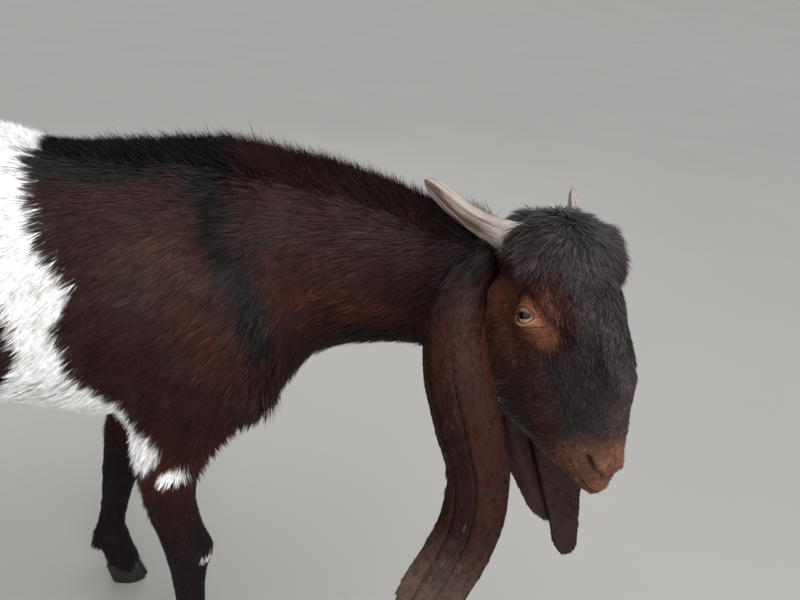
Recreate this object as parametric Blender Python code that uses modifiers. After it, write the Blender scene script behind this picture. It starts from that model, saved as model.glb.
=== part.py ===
"""A young billy goat of a long-eared, Roman-nosed breed, as a still, life-size model.

It stands with its head turned to its right and lowered. X runs forward along the body,
Y to the goat's left and Z up, in metres, with the floor at Z = 0.
The flesh is modelled whole, as lofts and ovals fused into one body, and then parted by thin cuts.
"""

import math
import random

import bmesh
import bpy
import numpy as np
from mathutils import Matrix, Vector

# Driving dimensions, in metres
GAP = 0.0003  # what touching nodes keep between them
KNEE = 0.226  # height of the middle of the knee
HOCK = 0.287
ELBOW = 0.445
EYE_RADIUS = 0.0145
EYE_AT = (0.000, 0.0385, -0.008)  # in the head's own frame, on its left side
EYE_SLIT = (0.0128, 0.0066)
EAR_WIDTH = 0.086
EAR_THICK = 0.005
HORN_LENGTH = 0.126
HORN_RADIUS = 0.0168
HORN_REACH = {1: (-0.865, 0.410, -0.291), -1: (-0.805, 0.44, -0.21)}
HORN_TAPER = ((-0.12, 0.0, 0.10, 0.16, 0.28, 0.5, 0.75, 0.9, 0.97, 1.0),
              (0.55, 0.70, 0.90, 0.90, 0.72, 0.62, 0.56, 0.42, 0.24, 0.04))
HOOF_LENGTH = 0.052
HOOF_WIDTH = 0.0195
HOOF_SLOPE = 17.0  # degrees by which the hoof's upper edge falls to the heel

# The head's frame starts between the eyes, with X to the muzzle, Y to its left and Z to the brow
HEAD_AT = Vector((0.157, -0.152, 0.659))
HEAD_YAW = -66.0
HEAD_PITCH = 29.0
HEAD_ROLL = -4.5
HEAD = Matrix.Translation(HEAD_AT) @ (
    Matrix.Rotation(math.radians(HEAD_YAW), 4, "Z")
    @ Matrix.Rotation(math.radians(HEAD_PITCH), 4, "Y")
    @ Matrix.Rotation(math.radians(HEAD_ROLL), 4, "X")
)

# How finely the fused flesh is kept
BODY_VOXEL = 0.0055
HEAD_VOXEL = 0.0038
BODY_TRIANGLES = 4800
HEAD_TRIANGLES = 2700

# Trunk sections from tail to chest: place, top, bottom, half width
TRUNK = [
    (-0.868, 0.640, 0.565, 0.030),
    (-0.850, 0.688, 0.530, 0.055),
    (-0.800, 0.722, 0.500, 0.088),
    (-0.720, 0.738, 0.475, 0.103),
    (-0.620, 0.736, 0.455, 0.112),
    (-0.520, 0.734, 0.432, 0.122),
    (-0.440, 0.728, 0.418, 0.122),
    (-0.370, 0.717, 0.412, 0.116),
    (-0.300, 0.718, 0.402, 0.106),
    (-0.240, 0.724, 0.394, 0.096),
    (-0.185, 0.720, 0.404, 0.086),
    (-0.135, 0.704, 0.455, 0.074),
    (-0.095, 0.680, 0.510, 0.058),
]

# Neck sections from the withers to the skull: centre, half height, half width
NECK = [
    (-0.210, 0.000, 0.600, 0.118, 0.080),
    (-0.140, -0.004, 0.608, 0.112, 0.074),
    (-0.080, -0.012, 0.618, 0.098, 0.065),
    (-0.020, -0.024, 0.621, 0.085, 0.056),
    (0.035, -0.045, 0.622, 0.072, 0.050),
    (0.085, -0.072, 0.636, 0.066, 0.046),
    (0.125, -0.100, 0.655, 0.052, 0.040),
]

# The line of the crest's hair tips from rump to poll
CREST = [
    (-0.800, 0.000, 0.732),
    (-0.600, 0.000, 0.744),
    (-0.440, 0.000, 0.742),
    (-0.375, 0.000, 0.730),
    (-0.290, 0.000, 0.737),
    (-0.210, 0.000, 0.746),
    (-0.150, -0.003, 0.748),
    (-0.075, -0.012, 0.740),
    (-0.012, -0.026, 0.727),
    (0.045, -0.050, 0.713),
    (0.088, -0.075, 0.716),
]
HAIR_CORE = 0.012  # how far the flesh stays below those tips

# Leg sections from body to hoof: height, place, half length, half width, distance from the middle
FORELEG = [
    (0.620, -0.200, 0.060, 0.042, 0.060),
    (0.540, -0.203, 0.078, 0.040, 0.076),
    (0.470, -0.222, 0.066, 0.040, 0.081),
    (0.420, -0.240, 0.051, 0.034, 0.080),
    (0.370, -0.254, 0.038, 0.032, 0.076),
    (0.310, -0.255, 0.032, 0.027, 0.071),
    (0.262, -0.246, 0.030, 0.0255, 0.068),
    (0.232, -0.238, 0.0310, 0.0270, 0.066),
    (0.200, -0.240, 0.0245, 0.0215, 0.066),
    (0.150, -0.240, 0.0205, 0.0180, 0.066),
    (0.110, -0.240, 0.0210, 0.0190, 0.066),
    (0.086, -0.239, 0.0260, 0.0235, 0.067),
    (0.064, -0.231, 0.0235, 0.0220, 0.068),
    (0.042, -0.222, 0.0225, 0.0225, 0.068),
    (0.018, -0.216, 0.0235, 0.0230, 0.068),
]
HINDLEG = [
    (0.660, -0.765, 0.070, 0.040, 0.055),
    (0.600, -0.760, 0.088, 0.048, 0.070),
    (0.530, -0.745, 0.092, 0.048, 0.085),
    (0.470, -0.737, 0.080, 0.043, 0.092),
    (0.420, -0.750, 0.060, 0.035, 0.090),
    (0.370, -0.775, 0.041, 0.028, 0.086),
    (0.320, -0.798, 0.029, 0.022, 0.081),
    (0.285, -0.810, 0.030, 0.022, 0.078),
    (0.245, -0.806, 0.022, 0.0185, 0.076),
    (0.170, -0.800, 0.0165, 0.0145, 0.074),
    (0.115, -0.798, 0.0165, 0.0150, 0.072),
    (0.086, -0.797, 0.0215, 0.0195, 0.071),
    (0.064, -0.789, 0.0185, 0.0180, 0.070),
    (0.042, -0.780, 0.0215, 0.0215, 0.070),
    (0.018, -0.774, 0.0225, 0.0220, 0.070),
]

# How far back and outwards the left legs stand from the right ones, by height
FORE_STRIDE = [
    (0.00, -0.184, 0.022), (0.10, -0.174, 0.019), (0.22, -0.145, 0.014), (0.31, -0.111, 0.007),
    (0.38, -0.080, 0.002), (0.47, -0.044, 0.0), (0.62, -0.030, 0.0),
]
HIND_STRIDE = [(0.00, -0.075, 0.0), (0.28, -0.060, 0.0), (0.45, -0.020, 0.0), (0.66, 0.0, 0.0)]

# Head sections from the back of the skull to the nose: place, brow, jaw, half widths at brow, cheek and jaw
SKULL = [
    (-0.085, 0.020, -0.058, 0.022, 0.030, 0.022),
    (-0.050, 0.042, -0.106, 0.034, 0.043, 0.035),
    (-0.015, 0.047, -0.126, 0.037, 0.044, 0.042),
    (0.020, 0.045, -0.133, 0.032, 0.040, 0.042),
    (0.055, 0.034, -0.129, 0.024, 0.033, 0.038),
    (0.090, 0.015, -0.115, 0.018, 0.026, 0.028),
    (0.118, -0.012, -0.101, 0.0145, 0.020, 0.018),
    (0.138, -0.040, -0.089, 0.010, 0.014, 0.010),
]


# Small tools

def clear_scene():
    for item in list(bpy.data.objects):
        bpy.data.objects.remove(item)


def collection(name):
    made = bpy.data.collections.new(name)
    bpy.context.scene.collection.children.link(made)
    return made


def material(name, colour, roughness):
    made = bpy.data.materials.new(name)
    made.use_nodes = True
    shader = made.node_tree.nodes["Principled BSDF"]
    shader.inputs["Base Color"].default_value = (*colour, 1)
    shader.inputs["Roughness"].default_value = roughness
    return made


def mesh_object(name, form, where):
    """Turns a bmesh into an object of the collection."""
    mesh = bpy.data.meshes.new(name)
    form.to_mesh(mesh)
    form.free()
    made = bpy.data.objects.new(name, mesh)
    where.objects.link(made)
    return made


def smooth_rows(rows, count):
    """Rows of numbers, evened to count rows along a Catmull-Rom curve through them."""
    rows = np.array(rows, float)
    padded = np.vstack([2 * rows[0] - rows[1], rows, 2 * rows[-1] - rows[-2]])
    place = np.linspace(0, len(rows) - 1, count)
    index = np.minimum(place.astype(int), len(rows) - 2)
    t = (place - index)[:, None]
    a, b, c, d = (padded[index + k] for k in range(4))
    bend = (2 * a - 5 * b + 4 * c - d) * t**2 + (3 * b - a - 3 * c + d) * t**3
    return 0.5 * (2 * b + (c - a) * t + bend)


def along(table, place, column=1):
    """Straight interpolation of one column of a table by its first."""
    return float(np.interp(place, [row[0] for row in table], [row[column] for row in table]))


def step_of(stride, z, side):
    """How far back and outwards a leg stands from the place that its table gives."""
    return (along(stride, z), along(stride, z, 2)) if side > 0 else (0.0, 0.0)


def loft(name, rings, where):
    """A closed skin through rings of points that all have the same count."""
    count = len(rings[0])
    form = bmesh.new()
    rows = [[form.verts.new(point) for point in ring] for ring in rings]
    for low, high in zip(rows, rows[1:]):
        for k in range(count):
            form.faces.new((low[k], low[(k + 1) % count], high[(k + 1) % count], high[k]))
    form.faces.new(rows[0][::-1])
    form.faces.new(rows[-1])
    bmesh.ops.recalc_face_normals(form, faces=form.faces)
    return mesh_object(name, form, where)


def section(centre, across, upward, half_width, above, below, sides=24, square=2.3):
    """A rounded section, a little squarer than an ellipse, with its own reach above and below."""
    centre, across, upward = Vector(centre), Vector(across), Vector(upward)
    points = []
    for k in range(sides):
        c, s = math.cos(2 * math.pi * k / sides), math.sin(2 * math.pi * k / sides)
        reach = (abs(c) ** square + abs(s) ** square) ** (-1 / square)
        height = above if s > 0 else below
        points.append(centre + across * (c * reach * half_width) + upward * (s * reach * height))
    return points


def oval(name, centre, radii, where, turn=(0, 0, 0), segments=24):
    """An ellipsoid, turned by degrees about X, Y and Z."""
    form = bmesh.new()
    bmesh.ops.create_uvsphere(form, u_segments=segments, v_segments=segments // 2, radius=1.0)
    spin = Matrix.Identity(4)
    for axis, angle in zip("ZYX", turn[::-1]):
        spin = spin @ Matrix.Rotation(math.radians(angle), 4, axis)
    place = Matrix.Translation(centre) @ spin @ Matrix.Diagonal((*radii, 1))
    bmesh.ops.transform(form, matrix=place, verts=form.verts)
    return mesh_object(name, form, where)


def both_sides(name, centre, radii, where, turn=(0, 0, 0)):
    """An oval and its mirror image across the middle plane."""
    x, y, z = centre
    made = []
    for side in (1, -1):
        mirrored = (turn[0] * side, turn[1], turn[2] * side)
        made.append(oval(name, (x, y * side, z), radii, where, mirrored))
    return made


def prism(name, outline, low, high, where, grow=0.0, place=None):
    """A convex outline in XZ drawn out along Y, its faces moved out by grow."""
    corners = [Vector(point) for point in outline]
    count = len(corners)
    normals = []
    for k in range(count):
        edge = (corners[(k + 1) % count] - corners[k]).normalized()
        normals.append(Vector((edge.y, -edge.x)))
    rings = []
    for y in (low - grow, high + grow):
        ring = []
        for k in range(count):
            before, after = normals[k - 1], normals[k]
            move = (before + after) * (grow / (1 + before.dot(after)))
            ring.append(Vector((corners[k].x + move.x, y, corners[k].y + move.y)))
        rings.append(ring)
    made = loft(name, rings, where)
    if place:
        made.data.transform(place)
    return made


def apply_modifiers(item):
    """Makes the evaluated mesh the object's own."""
    seen = item.evaluated_get(bpy.context.evaluated_depsgraph_get())
    mesh = bpy.data.meshes.new_from_object(seen)
    item.modifiers.clear()
    item.data = mesh


def joined(name, pieces, where):
    """One object that holds the meshes of all the pieces, which are removed."""
    form = bmesh.new()
    for piece in pieces:
        form.from_mesh(piece.data)
        bpy.data.objects.remove(piece)
    return mesh_object(name, form, where)


def fused(item, voxel, rounds, triangles):
    """Fuses overlapping forms into one skin, rounds off its creases and thins it."""
    remesh = item.modifiers.new("Fuse", "REMESH")
    remesh.mode = "VOXEL"
    remesh.voxel_size = voxel
    even = item.modifiers.new("Round", "LAPLACIANSMOOTH")
    even.iterations = rounds
    even.lambda_factor = 0.5
    even.lambda_border = 0.0
    apply_modifiers(item)
    if triangles:
        thin = item.modifiers.new("Thin", "DECIMATE")
        thin.ratio = triangles / (2 * len(item.data.polygons))
        apply_modifiers(item)


def boolean(item, other, operation, solver="EXACT"):
    """Applies one Boolean with another object."""
    change = item.modifiers.new("Boolean", "BOOLEAN")
    change.operation = operation
    change.solver = solver
    change.object = other
    apply_modifiers(item)


def copy_of(item, name, where):
    made = bpy.data.objects.new(name, item.data.copy())
    where.objects.link(made)
    return made


def grown(item, distance, name, where):
    """A copy of a closed mesh, moved out along its normals."""
    made = copy_of(item, name, where)
    mesh = made.data
    normals = np.empty(len(mesh.vertices) * 3, np.float32)
    mesh.vertex_normals.foreach_get("vector", normals)
    places = np.empty_like(normals)
    mesh.vertices.foreach_get("co", places)
    mesh.vertices.foreach_set("co", places + distance * normals)
    return made


def keep_largest(item):
    """Drops all but the largest closed surface of a mesh."""
    form = bmesh.new()
    form.from_mesh(item.data)
    bmesh.ops.triangulate(form, faces=form.faces)
    left = set(form.verts)
    best, best_volume = None, 0.0
    while left:
        start = left.pop()
        group, edge = {start}, [start]
        while edge:
            vertex = edge.pop()
            near = {link.other_vert(vertex) for link in vertex.link_edges} & left
            left -= near
            group |= near
            edge.extend(near)
        faces = {face for vertex in group for face in vertex.link_faces}
        volume = sum(f.verts[0].co.dot(f.verts[1].co.cross(f.verts[2].co)) for f in faces) / 6
        if volume > best_volume:
            best, best_volume = group, volume
    bmesh.ops.delete(form, geom=[v for v in form.verts if v not in best], context="VERTS")
    form.to_mesh(item.data)
    form.free()


# Body

def trunk(where):
    rings = []
    for x, top, bottom, half_width in smooth_rows(TRUNK, 36):
        middle = bottom + 0.46 * (top - bottom)
        ring = section((x, 0, middle), (0, 1, 0), (0, 0, 1), half_width, top - middle, middle - bottom)
        rings.append(ring)
    return loft("trunk", rings, where)


def neck(where):
    rows = smooth_rows(NECK, 24)
    steps = np.gradient(rows[:, :3], axis=0)
    rings = []
    for row, step in zip(rows, steps):
        forward = Vector(step).normalized()
        across = Vector((0, 0, 1)).cross(forward).normalized()
        upward = forward.cross(across)
        rings.append(section(row[:3], across, upward, row[4], row[3], row[3], square=2.1))
    return loft("neck", rings, where)


def leg(table, stride, side, where):
    """side is 1 on the left, where the leg stands further back, and -1 on the right."""
    rings = []
    for z, x, half_length, half_width, out in smooth_rows(table, 44):
        back, aside = step_of(stride, z, side)
        centre = (x + back, side * (out + aside), z)
        rings.append(section(centre, (1, 0, 0), (0, 1, 0), half_length, half_width, half_width, 16, 2.1))
    return loft("leg", rings, where)


def tail_form(where):
    rows = [
        (-0.830, 0.000, 0.694, 0.024, 0.024),
        (-0.864, 0.000, 0.700, 0.021, 0.018),
        (-0.893, 0.001, 0.692, 0.022, 0.014),
        (-0.913, 0.003, 0.668, 0.020, 0.012),
        (-0.921, 0.004, 0.640, 0.009, 0.007),
    ]
    rows = smooth_rows(rows, 14)
    steps = np.gradient(rows[:, :3], axis=0)
    rings = []
    for row, step in zip(rows, steps):
        forward = Vector(step).normalized()
        upward = forward.cross(Vector((0, 1, 0))).normalized()
        rings.append(section(row[:3], (0, 1, 0), upward, row[3], row[4], row[4], 14, 2.0))
    return loft("tail", rings, where)


def crest_ridge(where):
    """The standing hair of the back and neck as one low ridge."""
    rings = []
    deep = 0.030
    for x, y, top in smooth_rows(CREST, 30):
        centre = (x, y, top - deep)
        rings.append(section(centre, (0, 1, 0), (0, 0, 1), 0.016, deep - HAIR_CORE, deep, 10, 2.0))
    return loft("crest", rings, where)


def lock(name, root, tip, flat, width, bend, where):
    """One flat, tapered lock of hair from a sunk root to its tip; flat is the way its broad side faces."""
    root, tip = Vector(root), Vector(tip)
    span = tip - root
    flat = (flat - span * (flat.dot(span) / span.dot(span))).normalized()
    across = span.normalized().cross(flat)
    rings = []
    for t, share in ((0.0, 0.9), (0.40, 1.0), (0.78, 0.82), (1.0, 0.30)):
        middle = root + span * t + bend * (t * t)
        half, thick = width / 2 * share, width * 0.16 * share + 0.0004
        wide, deep = across * half, flat * thick
        rings.append([middle - wide, middle - deep, middle + wide, middle + deep])
    return loft(name, rings, where)


def surface_point(item, start, aim):
    """Where a ray meets a piece from outside, and which way the surface looks there."""
    hit, point, normal, _ = item.ray_cast(Vector(start), Vector(aim).normalized())
    return (point, normal) if hit else (None, None)


def crest_locks(body, where, draw):
    """Standing hair along the back and the neck, in two rows that lean apart and back."""
    rows = smooth_rows(CREST, 67)
    for k, (x, y, top) in enumerate(rows[6:-1]):
        side = 1 if k % 2 else -1
        ahead = Vector(rows[k + 7]) - Vector(rows[k + 5])
        across = Vector((0, 0, 1)).cross(ahead).normalized()
        tall = np.interp(x, [-0.8, -0.42, -0.25, -0.1, 0.1], [0.010, 0.012, 0.020, 0.026, 0.026])
        root = Vector((x, y, top - tall - 0.009)) + across * side * 0.003
        lean = ahead.normalized() * (-0.20 * tall) + across * side * draw.uniform(0.001, 0.004)
        tip = Vector((x, y, top + draw.uniform(-0.0025, 0.0025))) + across * side * 0.002 + lean
        flat = across + ahead.normalized() * draw.uniform(-0.3, 0.3)
        lock("lock", root, tip, flat, draw.uniform(0.021, 0.026), lean * 0.4, where)


def lying_locks(item, spots, lie, length, width, lift, where, draw):
    """Locks set on a surface under each spot, lying along it: spots are start points and aims of rays."""
    for start, aim in spots:
        point, normal = surface_point(item, start, aim)
        if point is None:
            continue
        way = lie(point) if callable(lie) else Vector(lie)
        way = (way - normal * way.dot(normal)).normalized()
        way = (way + normal * lift * draw.uniform(0.7, 1.2)).normalized()
        reach = length * draw.uniform(0.85, 1.15)
        root = point - normal * 0.005 - way * 0.004
        breadth, bend = width * draw.uniform(0.9, 1.2), -normal * reach * 0.18
        lock("lock", root, point + way * reach, normal, breadth, bend, where)


def crown_locks(head, where, draw):
    """Wavy hair on the crown that falls forward and to both sides."""
    turn = HEAD.to_3x3()
    centre = HEAD @ Vector((-0.040, 0, 0.000))

    def lie(point):
        local = HEAD.inverted() @ point
        return turn @ Vector((0.6 + (local.x + 0.05) * 10, local.y * 22, -0.2))

    spots = []
    for ring, (tilt, count) in enumerate(((8, 4), (26, 9), (45, 13), (62, 15))):
        for k in range(count):
            a = 2 * math.pi * (k + 0.5 * (ring % 2)) / count
            if ring == 3 and math.cos(a) < -0.2:
                continue
            t = math.radians(tilt)
            out = turn @ Vector((math.sin(t) * math.cos(a), math.sin(t) * math.sin(a), math.cos(t)))
            spots.append((centre + out * 0.12, -out))
    lying_locks(head, spots, lie, 0.028, 0.018, 0.32, where, draw)


def brisket_locks(body, where, draw):
    """Longer hair under the chest and in front of the near elbow."""
    spots = []
    for k in range(7):
        y = -0.085 + 0.025 * k
        spots.append(((0.0, y, 0.428 - 2.7 * y * y), (-1, 0, 0.12)))
    for y, z in ((-0.095, 0.375), (-0.075, 0.365)):
        spots.append(((0.0, y, z), (-1, 0, 0.12)))
    lying_locks(body, spots, (0.45, 0, -1), 0.026, 0.017, 0.45, where, draw)


def tail_locks(body, where, draw):
    """Hair that hangs from the tail's edges and tip."""
    spots = []
    for x, z in ((-0.880, 0.690), (-0.897, 0.680), (-0.912, 0.660), (-0.918, 0.645)):
        for side in (1, -1):
            spots.append(((x, side * 0.08, z), (0, -side, 0)))
    for y, z in ((0.003, 0.690), (-0.006, 0.668), (0.010, 0.664), (0.003, 0.645)):
        spots.append(((-1.05, y, z), (1, 0, 0)))
    lying_locks(body, spots, (-0.30, 0, -1), 0.032, 0.016, 0.22, where, draw)


def with_locks(item, makers, goat, seed):
    """Unites a piece with the locks that the makers set on it."""
    hair = collection("hair")
    draw = random.Random(seed)
    for maker in makers:
        maker(item, hair, draw)
    change = item.modifiers.new("Locks", "BOOLEAN")
    change.operation = "UNION"
    change.operand_type = "COLLECTION"
    change.collection = hair
    change.solver = "MANIFOLD"
    apply_modifiers(item)
    for single in list(hair.objects):
        bpy.data.objects.remove(single)
    bpy.data.collections.remove(hair)
    keep_largest(item)


def body_ovals(where):
    """Muscles and bones that stand out from the lofts, left and right."""
    pieces = []
    pieces += both_sides("shoulder", (-0.190, 0.066, 0.610), (0.046, 0.028, 0.110), where, (8, 20, 0))
    pieces += both_sides("upper_arm", (-0.185, 0.078, 0.505), (0.070, 0.032, 0.048), where, (0, 38, 0))
    pieces += both_sides("breast", (-0.160, 0.036, 0.490), (0.036, 0.034, 0.070), where, (0, 30, 0))
    pieces += both_sides("hip", (-0.690, 0.066, 0.690), (0.050, 0.030, 0.034), where)
    pieces += both_sides("thigh", (-0.765, 0.074, 0.590), (0.078, 0.040, 0.090), where, (0, -12, 0))
    pieces += both_sides("barrel", (-0.470, 0.070, 0.540), (0.160, 0.058, 0.100), where)
    pieces += both_sides("stifle", (-0.690, 0.086, 0.485), (0.040, 0.030, 0.050), where)
    pieces.append(oval("sheath", (-0.585, 0, 0.446), (0.045, 0.015, 0.022), where, (0, -8, 0)))
    pieces.append(oval("scrotum", (-0.725, 0, 0.432), (0.033, 0.030, 0.052), where))
    return pieces


def small_ovals(where):
    pieces = []
    for side in (1, -1):
        for stride, x, out in ((FORE_STRIDE, -0.235, 0.065), (HIND_STRIDE, -0.797, 0.071)):
            back, aside = step_of(stride, 0.08, side)
            for split in (1, -1):
                centre = (x + back - 0.022, side * (out + aside) + split * 0.009, 0.078)
                pieces.append(oval("dewclaw", centre, (0.008, 0.0065, 0.010), where, (0, 35, 0)))
    return pieces


def skull_ring(row, sides=26):
    """A head section whose width changes from brow to jaw."""
    x, brow, jaw, top, cheek, low = row
    points = []
    for k in range(sides):
        c, s = math.cos(2 * math.pi * k / sides), math.sin(2 * math.pi * k / sides)
        height = abs(s) ** 0.85 * (1 if s > 0 else -1)
        widths = [low * 0.8, low, cheek, (top + cheek) / 2, top]
        width = np.interp(height, [-1.0, -0.6, 0.0, 0.5, 1.0], widths)
        z = 0.5 * (brow + jaw) + 0.5 * (brow - jaw) * height
        points.append(Vector((x, width * abs(c) ** 0.75 * (1 if c > 0 else -1), z)))
    return points


def head_forms(where):
    """The skull and its soft parts, in the head's frame: the broad forms are rounded off first."""
    pieces = [loft("skull", [skull_ring(row) for row in smooth_rows(SKULL, 30)], where)]
    pieces.append(oval("crown", (-0.044, 0.003, 0.021), (0.052, 0.046, 0.034), where, (0, -4, 0)))
    pieces.append(oval("crown_side", (-0.040, 0.020, 0.026), (0.042, 0.031, 0.026), where))
    pieces.append(oval("nape", (-0.082, 0, -0.016), (0.040, 0.034, 0.036), where, (0, 20, 0)))
    pieces.append(oval("forehead", (0.006, 0, 0.016), (0.056, 0.035, 0.028), where, (0, 10, 0)))
    pieces.append(oval("bridge", (0.050, 0, 0.020), (0.056, 0.019, 0.018), where, (0, 18, 0)))
    pieces.append(oval("nose", (0.118, 0, -0.046), (0.0235, 0.0162, 0.0245), where, (0, 38, 0)))
    pieces.append(oval("chin", (0.107, 0, -0.092), (0.027, 0.0125, 0.012), where, (0, 12, 0)))
    pieces.append(oval("throat", (-0.050, 0, -0.068), (0.040, 0.036, 0.042), where))
    x, y, z = EYE_AT
    pieces += both_sides("eye_rim", (x - 0.004, y - 0.008, z + 0.004), (0.030, 0.018, 0.020), where)
    pieces += both_sides("brow", (-0.006, 0.034, 0.012), (0.028, 0.014, 0.012), where, (0, 10, 0))
    pieces += both_sides("cheek", (-0.012, 0.031, -0.070), (0.048, 0.017, 0.040), where, (0, 20, 0))
    pieces += both_sides("cheek_bone", (0.030, 0.026, -0.038), (0.040, 0.012, 0.013), where, (0, 12, -10))
    pieces += both_sides("upper_lip", (0.126, 0.0058, -0.064), (0.025, 0.0100, 0.016), where, (0, 38, 0))
    pieces += both_sides("lower_lip", (0.107, 0.0060, -0.084), (0.028, 0.0098, 0.010), where, (0, 14, 0))
    pieces += both_sides("horn_root", (-0.0575, 0.0395, 0.0225), (0.0205, 0.0205, 0.0200), where)
    pieces += both_sides("horn_boss", (-0.0430, 0.0315, 0.0190), (0.0230, 0.0220, 0.0215), where)
    pieces += both_sides("ear_base", (-0.062, 0.034, -0.002), (0.022, 0.018, 0.022), where)
    broad = joined("broad", pieces, where)
    fused(broad, 0.0038, 24, None)
    pieces = [broad]
    pieces += both_sides("orbit", (x, y - 0.0015, z), (0.0185, 0.0168, 0.0160), where)
    pieces += both_sides("nostril_wing", (0.131, 0.0100, -0.046), (0.0115, 0.0072, 0.012), where, (0, 40, 0))
    for piece in pieces:
        piece.data.transform(HEAD)
    return pieces


def leg_forms(where):
    pieces = []
    for side in (1, -1):
        pieces.append(leg(FORELEG, FORE_STRIDE, side, where))
        pieces.append(leg(HINDLEG, HIND_STRIDE, side, where))
    return pieces


def whole_body(where):
    """The trunk's forms are fused and rounded well before the slighter ones are added to them."""
    mass = joined("mass", [trunk(where), neck(where)] + leg_forms(where) + body_ovals(where), where)
    fused(mass, 0.009, 14, None)
    pieces = [mass, tail_form(where), crest_ridge(where)]
    pieces += leg_forms(where) + small_ovals(where) + head_forms(where)
    return joined("body", pieces, where)


def whole_head(where):
    return joined("head", head_forms(where) + [neck(where), crest_ridge(where)], where)


# Horns, ears, eyes and hooves

def horn(side, name, where, grow=0.0):
    """A short flattened horn that sweeps back and out; the left one lies a little lower."""
    reach = Vector(HORN_REACH[side]).normalized()
    rings = []
    for t in np.linspace(-0.12, 1.0, 15):
        sag = 0.010 * math.sin(math.pi * max(t, 0))
        spine = Vector((-0.052, 0.037, 0.024)) + reach * (HORN_LENGTH * t) - Vector((0.0, 0.2, 1.0)) * sag
        taper = np.interp(t, HORN_TAPER[0], HORN_TAPER[1])
        rib = 1 + 0.03 * math.sin(38 * t) * (t > 0)
        wide = HORN_RADIUS * taper * rib + 0.0016 + grow
        thin = 0.56 * HORN_RADIUS * taper * rib + 0.0014 + grow
        upward = Vector((-0.25, -0.40, 0.85))
        upward = (upward - reach * reach.dot(upward)).normalized()
        across = reach.cross(upward)
        ring = section(spine, upward, across, wide, thin, thin, 10, 2.0)
        rings.append([Vector((point.x, point.y * side, point.z)) for point in ring])
    made = loft(name, rings, where)
    made.data.transform(HEAD)
    return made


def eyeball(side, name, where, grow=0.0):
    x, y, z = EYE_AT
    made = oval(name, (x, side * y, z), [EYE_RADIUS + grow] * 3, where, segments=16)
    made.data.transform(HEAD)
    return made


def nostril(side, where):
    """A slit that runs forward and a little inward on the side of the nose."""
    place, size = (0.135, side * 0.0165, -0.0455), (0.0088, 0.0045, 0.0026)
    made = oval("nostril", place, size, where, (0, 22, -18 * side), 12)
    made.data.transform(HEAD)
    return made


def mouth(head, where):
    """A groove round the muzzle from one corner of the mouth to the other."""
    centre = Vector((0.085, 0, -0.083))
    rings = []
    for turn in np.linspace(-128, 128, 27):
        a = math.radians(turn)
        aim = Vector((math.cos(a), math.sin(a), 0.0))
        start = HEAD @ centre
        hit, point, normal, _ = head.ray_cast(start, HEAD.to_3x3() @ aim)
        out = HEAD.to_3x3() @ aim
        depth = 0.0026 if abs(turn) < 118 else 0.0012
        up = HEAD.to_3x3() @ Vector((0, 0, 1))
        lip = point + out * 0.0015
        rings.append([lip + up * depth * 0.55, point - out * depth, lip - up * depth * 0.55])
    return loft("mouth", rings, where)


def eye_opening(side, where):
    """An almond drawn out sideways, which opens the lids."""
    x, y, z = EYE_AT
    wide, high = EYE_SLIT
    outline = []
    for k in range(16):
        a = 2 * math.pi * k / 16
        lens = abs(math.sin(a)) ** 1.25 * (1 if math.sin(a) > 0 else -1)
        outline.append((wide * math.cos(a), high * lens + 0.12 * wide * math.cos(a)))
    rings = []
    for reach, spread in ((0.2, 0.62), (0.75, 0.96), (1.8, 1.45)):
        ring = []
        for u, v in outline:
            ahead = x + u * spread + 0.10 * reach * EYE_RADIUS
            ring.append(Vector((ahead, side * (y + reach * EYE_RADIUS), z + v * spread)))
        rings.append(ring)
    made = loft("eye_opening", rings, where)
    made.data.transform(HEAD)
    return made


# Ear spines in the body's frame: place, the way the outer face looks, curl and fold in degrees
# and share of the width
EAR_NEAR = [
    (0.078, -0.116, 0.694, -0.30, -0.80, 0.45, 290, 0, 0.80),
    (0.056, -0.148, 0.676, -0.35, -0.85, 0.35, 220, 0, 0.90),
    (0.043, -0.176, 0.645, -0.40, -0.88, 0.20, 180, 0, 1.00),
    (0.048, -0.197, 0.600, -0.38, -0.92, 0.10, 160, 0, 1.04),
    (0.065, -0.208, 0.552, -0.33, -0.94, 0.05, 145, 0, 1.02),
    (0.083, -0.216, 0.500, -0.28, -0.95, 0.02, 130, 0, 0.87),
    (0.084, -0.225, 0.452, -0.22, -0.96, 0.05, 110, 0, 0.80),
    (0.071, -0.234, 0.410, -0.15, -0.97, 0.10, 85, 0, 0.78),
    (0.052, -0.243, 0.368, -0.10, -0.96, 0.15, 60, 0, 0.76),
    (0.044, -0.247, 0.350, -0.10, -0.96, 0.15, 50, 0, 0.68),
]
EAR_FAR = [
    (0.180, -0.073, 0.684, 0.60, 0.70, 0.45, 290, 0, 0.80),
    (0.203, -0.050, 0.660, 0.60, 0.75, 0.35, 210, 0, 0.88),
    (0.206, -0.046, 0.628, 0.52, 0.82, 0.20, 150, 20, 0.98),
    (0.192, -0.052, 0.585, 0.42, 0.90, 0.05, 90, 50, 1.10),
    (0.171, -0.064, 0.530, 0.30, 0.95, 0.00, 50, 75, 1.42),
    (0.167, -0.078, 0.475, 0.24, 0.97, 0.00, 35, 80, 1.42),
    (0.181, -0.092, 0.420, 0.22, 0.97, 0.00, 30, 70, 0.99),
    (0.198, -0.104, 0.372, 0.22, 0.97, 0.00, 30, 50, 0.66),
    (0.207, -0.110, 0.332, 0.22, 0.97, 0.00, 30, 30, 0.52),
]


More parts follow.
